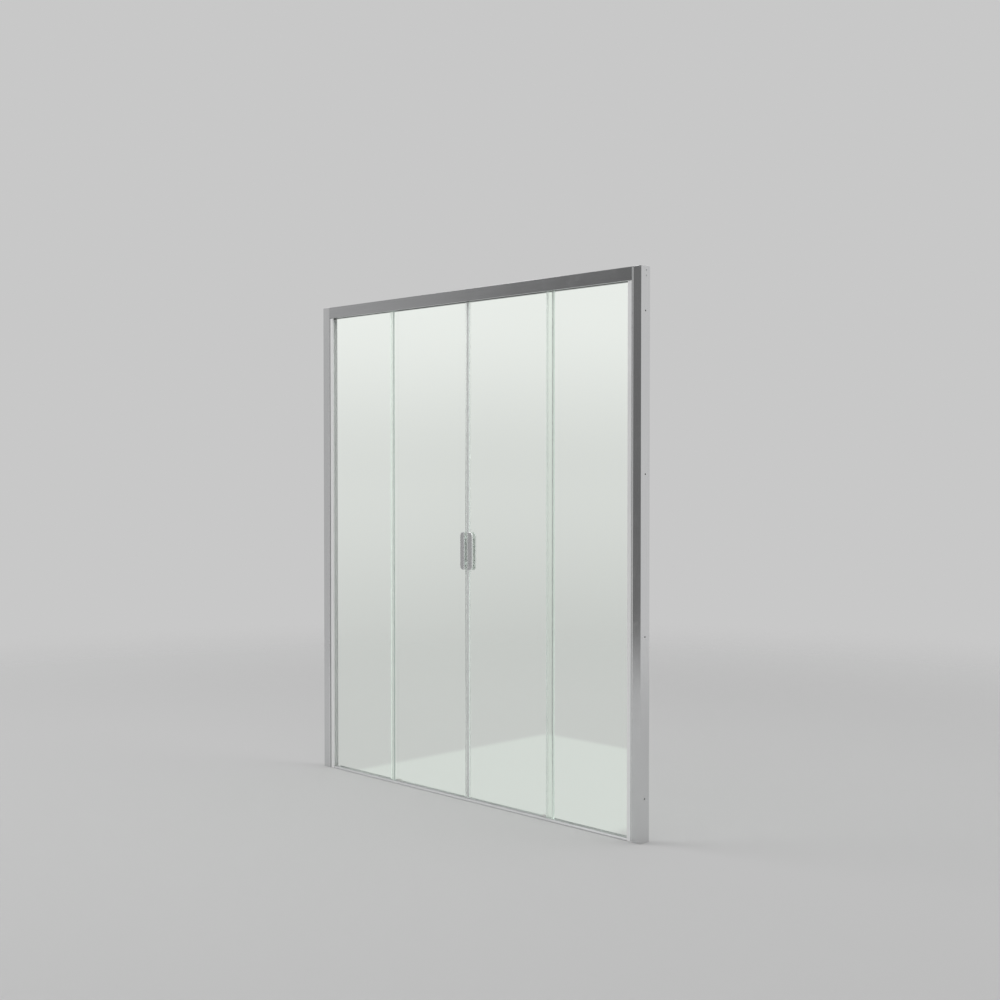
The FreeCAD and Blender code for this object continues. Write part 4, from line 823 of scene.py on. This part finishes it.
class SCREEN_OT_edges(ScreenOperator, bpy.types.Operator):
    """Soften the sharp edges of the extrusions, castings, fittings and panes"""

    bl_idname = "shower_screen.edges"
    bl_label = "Soft Edges"

    def execute(self, context):
        sizes = context.scene.screen_edges
        soften(hands("profile_cap", "adjuster_profile"), sizes.extrusion)
        soften(["top_rail", "threshold"], sizes.extrusion)
        soften(hands("carriage_inner", "carriage_outer"), sizes.casting)
        soften(hands("rail_bracket", "door_guide") + ["rail_stops"], sizes.fitting)
        soften(hands("fixed_glass", "door_glass"), sizes.pane, segments=1)
        return {"FINISHED"}


class SCREEN_OT_screws(ScreenOperator, bpy.types.Operator):
    """Fit countersunk screws with cross recesses to the rail, brackets, adjusters and guides"""

    bl_idname = "shower_screen.screws"
    bl_label = "Countersunk Screws"

    def execute(self, context):
        sizes = context.scene.screen_fasteners
        steel = turned_steel("screw steel", context.scene.screen_metal.steel)
        recess = cross(sizes.cross_span, sizes.cross_slot)
        # The axis that each kind of screw lies along
        kinds = {"adjuster_screws": 1, "rail_screws": 2, "bracket_screws": 0, "guide_screws": 2}
        for node, axis in kinds.items():
            reach, head = fastener_size(node, axis)
            profile = countersunk(reach, head, sizes.countersink, sizes.edge, tip=0.3)
            if node == "bracket_screws":
                # At the left they face left, at the right they face right
                half = len(solids_in(node)) // 2
                outward = heads_of(node, axis, sign=-1)[:half]
                outward += heads_of(node, axis, sign=1)[half:]
            else:
                outward = heads_of(node, axis, sign=1)
            mesh = fastener(profile, recess, sizes.cross_depth, sizes.cross_taper)
            stand_in(copies(f"{node}_cross", mesh, outward), node, steel)
        return {"FINISHED"}


class SCREEN_OT_bolts(ScreenOperator, bpy.types.Operator):
    """Fit the handle screws and the clamp bolts, with hexagonal sockets"""

    bl_idname = "shower_screen.bolts"
    bl_label = "Socket Bolts"

    def execute(self, context):
        sizes = context.scene.screen_fasteners
        steel = turned_steel("bolt steel", context.scene.screen_metal.steel)
        edge = sizes.edge
        for node in hands("handle_screws"):
            reach, head = fastener_size(node, axis=1)
            profile = countersunk(reach, head, sizes.handle_head, edge, tip=0.25)
            socket = hexagon(sizes.small_hex)
            mesh = fastener(profile, socket, sizes.small_hex_depth, sizes.hex_taper)
            screws = copies(f"{node}_socket", mesh, heads_of(node, axis=1, sign=1))
            stand_in(screws, node, steel)
        cap, shank, tip = sizes.clamp_head, sizes.clamp_shank, sizes.clamp_tip
        for node in hands("clamp_bolts"):
            reach, head = fastener_size(node, axis=1)
            profile = [
                (shank - tip, -reach),
                (shank, -reach + tip),
                (shank, -cap),
                (head - edge, -cap),
                (head, -cap + edge),
                (head, -edge * 3),
                (head - edge, -edge),
                (head - edge * 3, 0),
            ]
            socket = hexagon(sizes.large_hex)
            mesh = fastener(profile, socket, sizes.large_hex_depth, sizes.hex_taper, count=48)
            bolts = copies(f"{node}_socket", mesh, heads_of(node, axis=1, sign=-1))
            stand_in(bolts, node, steel)
        return {"FINISHED"}


def wheel_form(radius, half, sizes):
    """A nylon wheel about Z: a running groove, rounded flanges and a ribbed web."""
    round_off, inset = sizes.rim_round, sizes.web_inset
    floor, mouth = sizes.groove_floor, sizes.groove_mouth
    base = radius - sizes.groove
    hub = sizes.bore + sizes.hub
    rim = base - sizes.rim
    slope = inset / 3
    corner = round_off * 0.3
    rib_foot, rib_side = 0.86, 0.08

    def sunk(side):
        """The web lies deeper than the hub and the rim. Its ribs are the crests of a wave that
        runs round it, and come up to them."""
        def lift(angle):
            wave = (math.cos(sizes.ribs * angle) + 1) / 2
            rib = min(max((wave - rib_foot) / rib_side, 0), 1)
            return side * inset * (rib - 1)
        return lift

    def flank(side):
        """One side of the wheel, from the bore to the groove."""
        return [
            (sizes.bore, side * half),
            (hub, side * half),
            (hub + slope, side * half, sunk(side)),
            (rim - slope, side * half, sunk(side)),
            (rim, side * half),
            (radius - round_off, side * half),
            (radius - corner, side * (half - corner)),
            (radius, side * (half - round_off)),
            (radius, side * (mouth + corner)),
            (radius - corner, side * mouth),
        ]

    groove = []
    steps = 8
    for step in range(steps + 1):
        across = -math.cos(math.pi * step / steps)
        groove.append((base + sizes.groove_hollow * abs(across), floor * across))
    return turned(flank(-1) + groove + flank(1)[::-1], count=96)


def bearing_form(outer, half, sizes):
    """A ball bearing about Z: an inner and an outer ring, with sunk shields between them."""
    inner = sizes.axle
    edge = sizes.ring / 4
    shield = half - sizes.shield_inset
    side = [
        (inner, half - edge),
        (inner + edge, half),
        (inner + sizes.ring, half),
        (inner + sizes.ring, shield),
        (outer - sizes.ring - edge, shield + edge),
        (outer - sizes.ring, shield),
        (outer - sizes.ring, half),
        (outer - edge, half),
        (outer, half - edge),
    ]
    return turned(side + [(radius, -level) for radius, level in reversed(side)], count=48)


class SCREEN_OT_rollers(ScreenOperator, bpy.types.Operator):
    """Mould the grooved wheels and turn the ball bearings inside them"""

    bl_idname = "shower_screen.rollers"
    bl_label = "Wheels and Bearings"

    def execute(self, context):
        sizes = context.scene.screen_rollers
        nylon = moulded_nylon("wheel nylon", context.scene.screen_glass.nylon)
        steel = turned_steel("bearing steel", context.scene.screen_metal.steel)
        upright = Euler((math.radians(90), 0, 0)).to_matrix().to_4x4()
        for node in hands("wheel_inner", "wheel_outer"):
            low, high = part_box(node)
            mesh = wheel_form((high.x - low.x) / 2, (high.y - low.y) / 2, sizes)
            middle = Matrix.Translation((low + high) / 2)
            wheel = copies(f"{node}_moulded", mesh, [middle @ upright])
            stand_in(wheel, node, nylon)
        for node in hands("wheel_bearings"):
            boxes = solids_in(node)
            low, high = boxes[0]
            mesh = bearing_form((high.x - low.x) / 2, (high.y - low.y) / 2, sizes)
            places = [Matrix.Translation((low + high) / 2) @ upright for low, high in boxes]
            stand_in(copies(f"{node}_shielded", mesh, places), node, steel)
        return {"FINISHED"}


def upright_strip(name, outline, side, x, y, low, high, material):
    """A strip of one section from the height low to high. The outline runs from x and y, across
    towards the wall of its side and out towards the back."""
    mesh = bmesh.new()
    corners = [(x + side * across, y + out) for across, out in outline]
    rows = [[mesh.verts.new((*corner, level)) for corner in corners] for level in (low, high)]
    bridge(mesh, *rows)
    for row in rows:
        mesh.faces.new(row)
    bmesh.ops.recalc_face_normals(mesh, faces=mesh.faces)
    strip = copies(name, mesh)
    strip.data.materials.append(material)
    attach(strip, "frame")


class SCREEN_OT_trims(ScreenOperator, bpy.types.Operator):
    """Run a black strip of painted shadow and a lightened bead, a painted highlight, along the
    joint of wall profile and adjuster
    """

    bl_idname = "shower_screen.trims"
    bl_label = "Wipers and Beads"

    def execute(self, context):
        sizes = context.scene.screen_trims
        metal = context.scene.screen_metal
        black = context.scene.screen_glass.rubber
        # Painted shadow: a black strip stands where there is only the shadow of the gap between
        # wall profile and adjuster
        rubber = soft_rubber("wiper rubber", black, roughness=0.6)
        # Painted highlight: the bead's aluminium is lighter than the wall profile's, for a bright
        # line along its free edge
        bead_highlight_metal = extruded_metal("bead aluminium", metal.bead, metal.profile_roughness, "z")
        width, proud, sink = sizes.wiper_width, sizes.wiper_proud, sizes.sink
        # The black strip's round face, as shares of its width and height
        face = ((0, 1), (0.35, 1), (0.72, 0.8), (0.93, 0.4), (1, 0))
        painted_shadow = [(0, sink)]
        painted_shadow += [(-width * across, -proud * out) for across, out in face]
        painted_shadow.append((-width, sink))
        near, wide, high = sizes.bead_edge, sizes.bead_width, sizes.bead_proud
        steps, fullness = 12, 0.8
        bead = [(near, sink)]
        for step in range(steps + 1):
            angle = math.pi * step / steps
            across = near + wide * (1 - math.cos(angle)) / 2
            bead.append((across, -high * math.sin(angle) ** fullness))
        bead.append((near + wide, sink))
        for hand, side in (("right", 1), ("left", -1)):
            wall_low, wall_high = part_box(f"wall_profile_{hand}")
            nose_low, nose_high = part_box(f"adjuster_profile_{hand}")
            edge = wall_low.x if side > 0 else wall_high.x
            upright_strip(
                f"painted_shadow_strip_{hand}", painted_shadow, side, edge, nose_low.y,
                nose_low.z + sizes.short, nose_high.z - sizes.short, rubber,
            )
            upright_strip(
                f"edge_bead_{hand}", bead, side, edge, wall_low.y,
                wall_low.z + sizes.short, wall_high.z - sizes.short, bead_highlight_metal,
            )
        return {"FINISHED"}


# The studio


def soft_lamp(name, place, power, stage):
    """A large square lamp turned towards the screen."""
    lamp = bpy.data.lights.new(name, "AREA")
    lamp.size = stage.lamp_size
    lamp.energy = power
    thing = bpy.data.objects.new(name, lamp)
    thing.location = place
    way = Vector(stage.lamp_aim) - Vector(place)
    thing.rotation_euler = way.to_track_quat("-Z", "Y").to_euler()
    bpy.context.scene.collection.objects.link(thing)


def tone_ramp(tree, value, stops):
    """Colours that go over into each other, each with its place along the value."""
    node = add_node(tree, "ShaderNodeValToRGB", {"Fac": value})
    elements = node.color_ramp.elements
    node.color_ramp.interpolation = "EASE"
    while len(elements) < len(stops):
        elements.new(0.5)
    for element, (position, colour) in zip(elements, stops):
        element.position = position
        element.color = (*colour, 1)
    return node.outputs["Color"]


def dark_sided(tree, way, stage):
    """White, and dark towards one side of the room."""
    inputs = {0: way, 1: Vector(stage.dark_side).normalized()}
    facing = add_node(tree, "ShaderNodeVectorMath", inputs, operation="DOT_PRODUCT")
    # How straight a ray goes to that side, and the light that it finds there
    stops = ((0.5, 1), (0.87, 0.95), (0.915, 0.7), (0.95, stage.shade / stage.ambient))
    return tone_ramp(tree, facing.outputs["Value"], [(at, (tone,) * 3) for at, tone in stops])


def fading_down(tree, way, stage):
    """The light seen through the glass, which fades towards the floor."""
    slope = add_node(tree, "ShaderNodeSeparateXYZ", {"Vector": way}).outputs["Z"]
    # The slopes of a ray, downwards and upwards, between which the light fades
    height = rise(tree, slope, -0.16, 0.12, kind="LINEAR")
    low, high = stage.beyond_low, stage.beyond_high
    knee, gain = 0.55, 0.45
    middle = [dark + gain * (light - dark) for dark, light in zip(low, high)]
    return tone_ramp(tree, height, [(0, low), (knee, middle), (1, high)])


def studio_world(stage):
    """Even light from all round. Polished metal and glass reflect a dark side of the room, the
    glass shows light that fades towards the floor, and the camera sees the plain backdrop."""
    world = bpy.data.worlds.new("studio")
    world.use_nodes = True
    bpy.context.scene.world = world
    tree = world.node_tree
    tree.nodes.clear()
    way = add_node(tree, "ShaderNodeTexCoord").outputs["Generated"]
    path = add_node(tree, "ShaderNodeLightPath").outputs
    # Each kind of ray, what it sees and how bright, from the most general one
    views = (
        (None, (1, 1, 1, 1), stage.ambient),
        ("Is Glossy Ray", dark_sided(tree, way, stage), stage.ambient),
        ("Is Transmission Ray", fading_down(tree, way, stage), 1),
        ("Is Camera Ray", (*stage.backdrop, 1), 1),
    )
    seen = None
    for ray, colour, strength in views:
        inputs = {"Color": colour, "Strength": strength}
        view = add_node(tree, "ShaderNodeBackground", inputs).outputs["Background"]
        seen = mixed(tree, path[ray], seen, view) if ray else view
    add_node(tree, "ShaderNodeOutputWorld", {"Surface": seen})


def floor_behind_glass(tree, place, stage):
    """What the glass shows of the floor behind the screen: the shower's paler floor and the
    foot of its walls. Gives where it shows, and its light."""
    parts = add_node(tree, "ShaderNodeSeparateXYZ", {"Vector": place}).outputs
    half, depth, soft = stage.tray_half, stage.tray_depth, stage.tray_soft
    across = calculated(tree, "ABSOLUTE", parts["X"])
    inside = rise(tree, across, half + soft, half - soft)
    near = rise(tree, parts["Y"], depth + soft, depth - soft)
    on_tray = calculated(tree, "MULTIPLY", inside, near)
    colour = mixed_colour(tree, on_tray, stage.beyond_low, stage.tray)
    light = add_node(tree, "ShaderNodeEmission", {"Color": colour})
    through = add_node(tree, "ShaderNodeLightPath").outputs["Is Transmission Ray"]
    behind = rise(tree, parts["Y"], 0, soft)
    return calculated(tree, "MULTIPLY", behind, through), light.outputs["Emission"]


def floor_finish(stage):
    """Pale matt floor that fades into the backdrop away from the object."""
    finish = Finish("studio floor", stage.floor, roughness=0.9)
    tree = finish.tree
    place = object_place(tree)
    seen, light = floor_behind_glass(tree, place, stage)
    floor = mixed(tree, seen, finish.surface, light)
    reach = add_node(tree, "ShaderNodeVectorMath", {0: place}, operation="LENGTH")
    fade = rise(tree, reach.outputs["Value"], stage.floor_near, stage.floor_far)
    clear = add_node(tree, "ShaderNodeBsdfTransparent").outputs["BSDF"]
    finish.show(mixed(tree, fade, floor, clear))
    return finish.material


class SCREEN_OT_stage(ScreenOperator, bpy.types.Operator):
    """Set up the floor, the backdrop, the lamps and the camera"""

    bl_idname = "shower_screen.stage"
    bl_label = "Stage"

    def execute(self, context):
        stage = context.scene.screen_stage
        studio_world(stage)
        mesh = bmesh.new()
        mesh.faces.new(ring(mesh, stage.floor_far, level=0, count=96))
        floor = copies("studio_floor", mesh)
        floor.location.z = -stage.floor_gap
        floor.data.materials.append(floor_finish(stage))
        soft_lamp("key_lamp", stage.key_place, stage.key, stage)
        soft_lamp("fill_lamp", stage.fill_place, stage.fill, stage)
        lens = bpy.data.cameras.new("camera")
        lens.sensor_width = 36
        lens.lens = stage.lens
        lens.clip_end = 60
        camera = bpy.data.objects.new("camera", lens)
        camera.location = stage.camera_place
        camera.rotation_euler = stage.camera_turn
        context.scene.collection.objects.link(camera)
        context.scene.camera = camera
        context.scene.view_settings.view_transform = "Standard"
        return {"FINISHED"}


STEPS = (
    SCREEN_OT_metal,
    SCREEN_OT_glass,
    SCREEN_OT_edges,
    SCREEN_OT_screws,
    SCREEN_OT_bolts,
    SCREEN_OT_rollers,
    SCREEN_OT_trims,
    SCREEN_OT_stage,
)


class SCREEN_PT_builder(bpy.types.Panel):
    """Lists the steps and the sizes of the shower screen"""

    bl_label = "Shower Screen"
    bl_idname = "SCREEN_PT_builder"
    bl_space_type = "VIEW_3D"
    bl_region_type = "UI"
    bl_category = "Shower Screen"

    def draw(self, context):
        layout = self.layout
        for step in STEPS:
            layout.operator(step.bl_idname)
        for name, group in SETTINGS.items():
            box = layout.box()
            box.label(text=name.replace("_", " ").capitalize())
            for key in group.__annotations__:
                box.prop(getattr(context.scene, name), key)


CLASSES = (*SETTINGS.values(), *STEPS, SCREEN_PT_builder)


def register():
    for kind in CLASSES:
        bpy.utils.register_class(kind)
    for name, group in SETTINGS.items():
        setattr(bpy.types.Scene, name, PointerProperty(type=group))


def unregister():
    for name in SETTINGS:
        delattr(bpy.types.Scene, name)
    for kind in reversed(CLASSES):
        bpy.utils.unregister_class(kind)


def main():
    register()
    for step in STEPS:
        family, name = step.bl_idname.split(".")
        getattr(getattr(bpy.ops, family), name)()


if __name__ == "__main__":
    main()
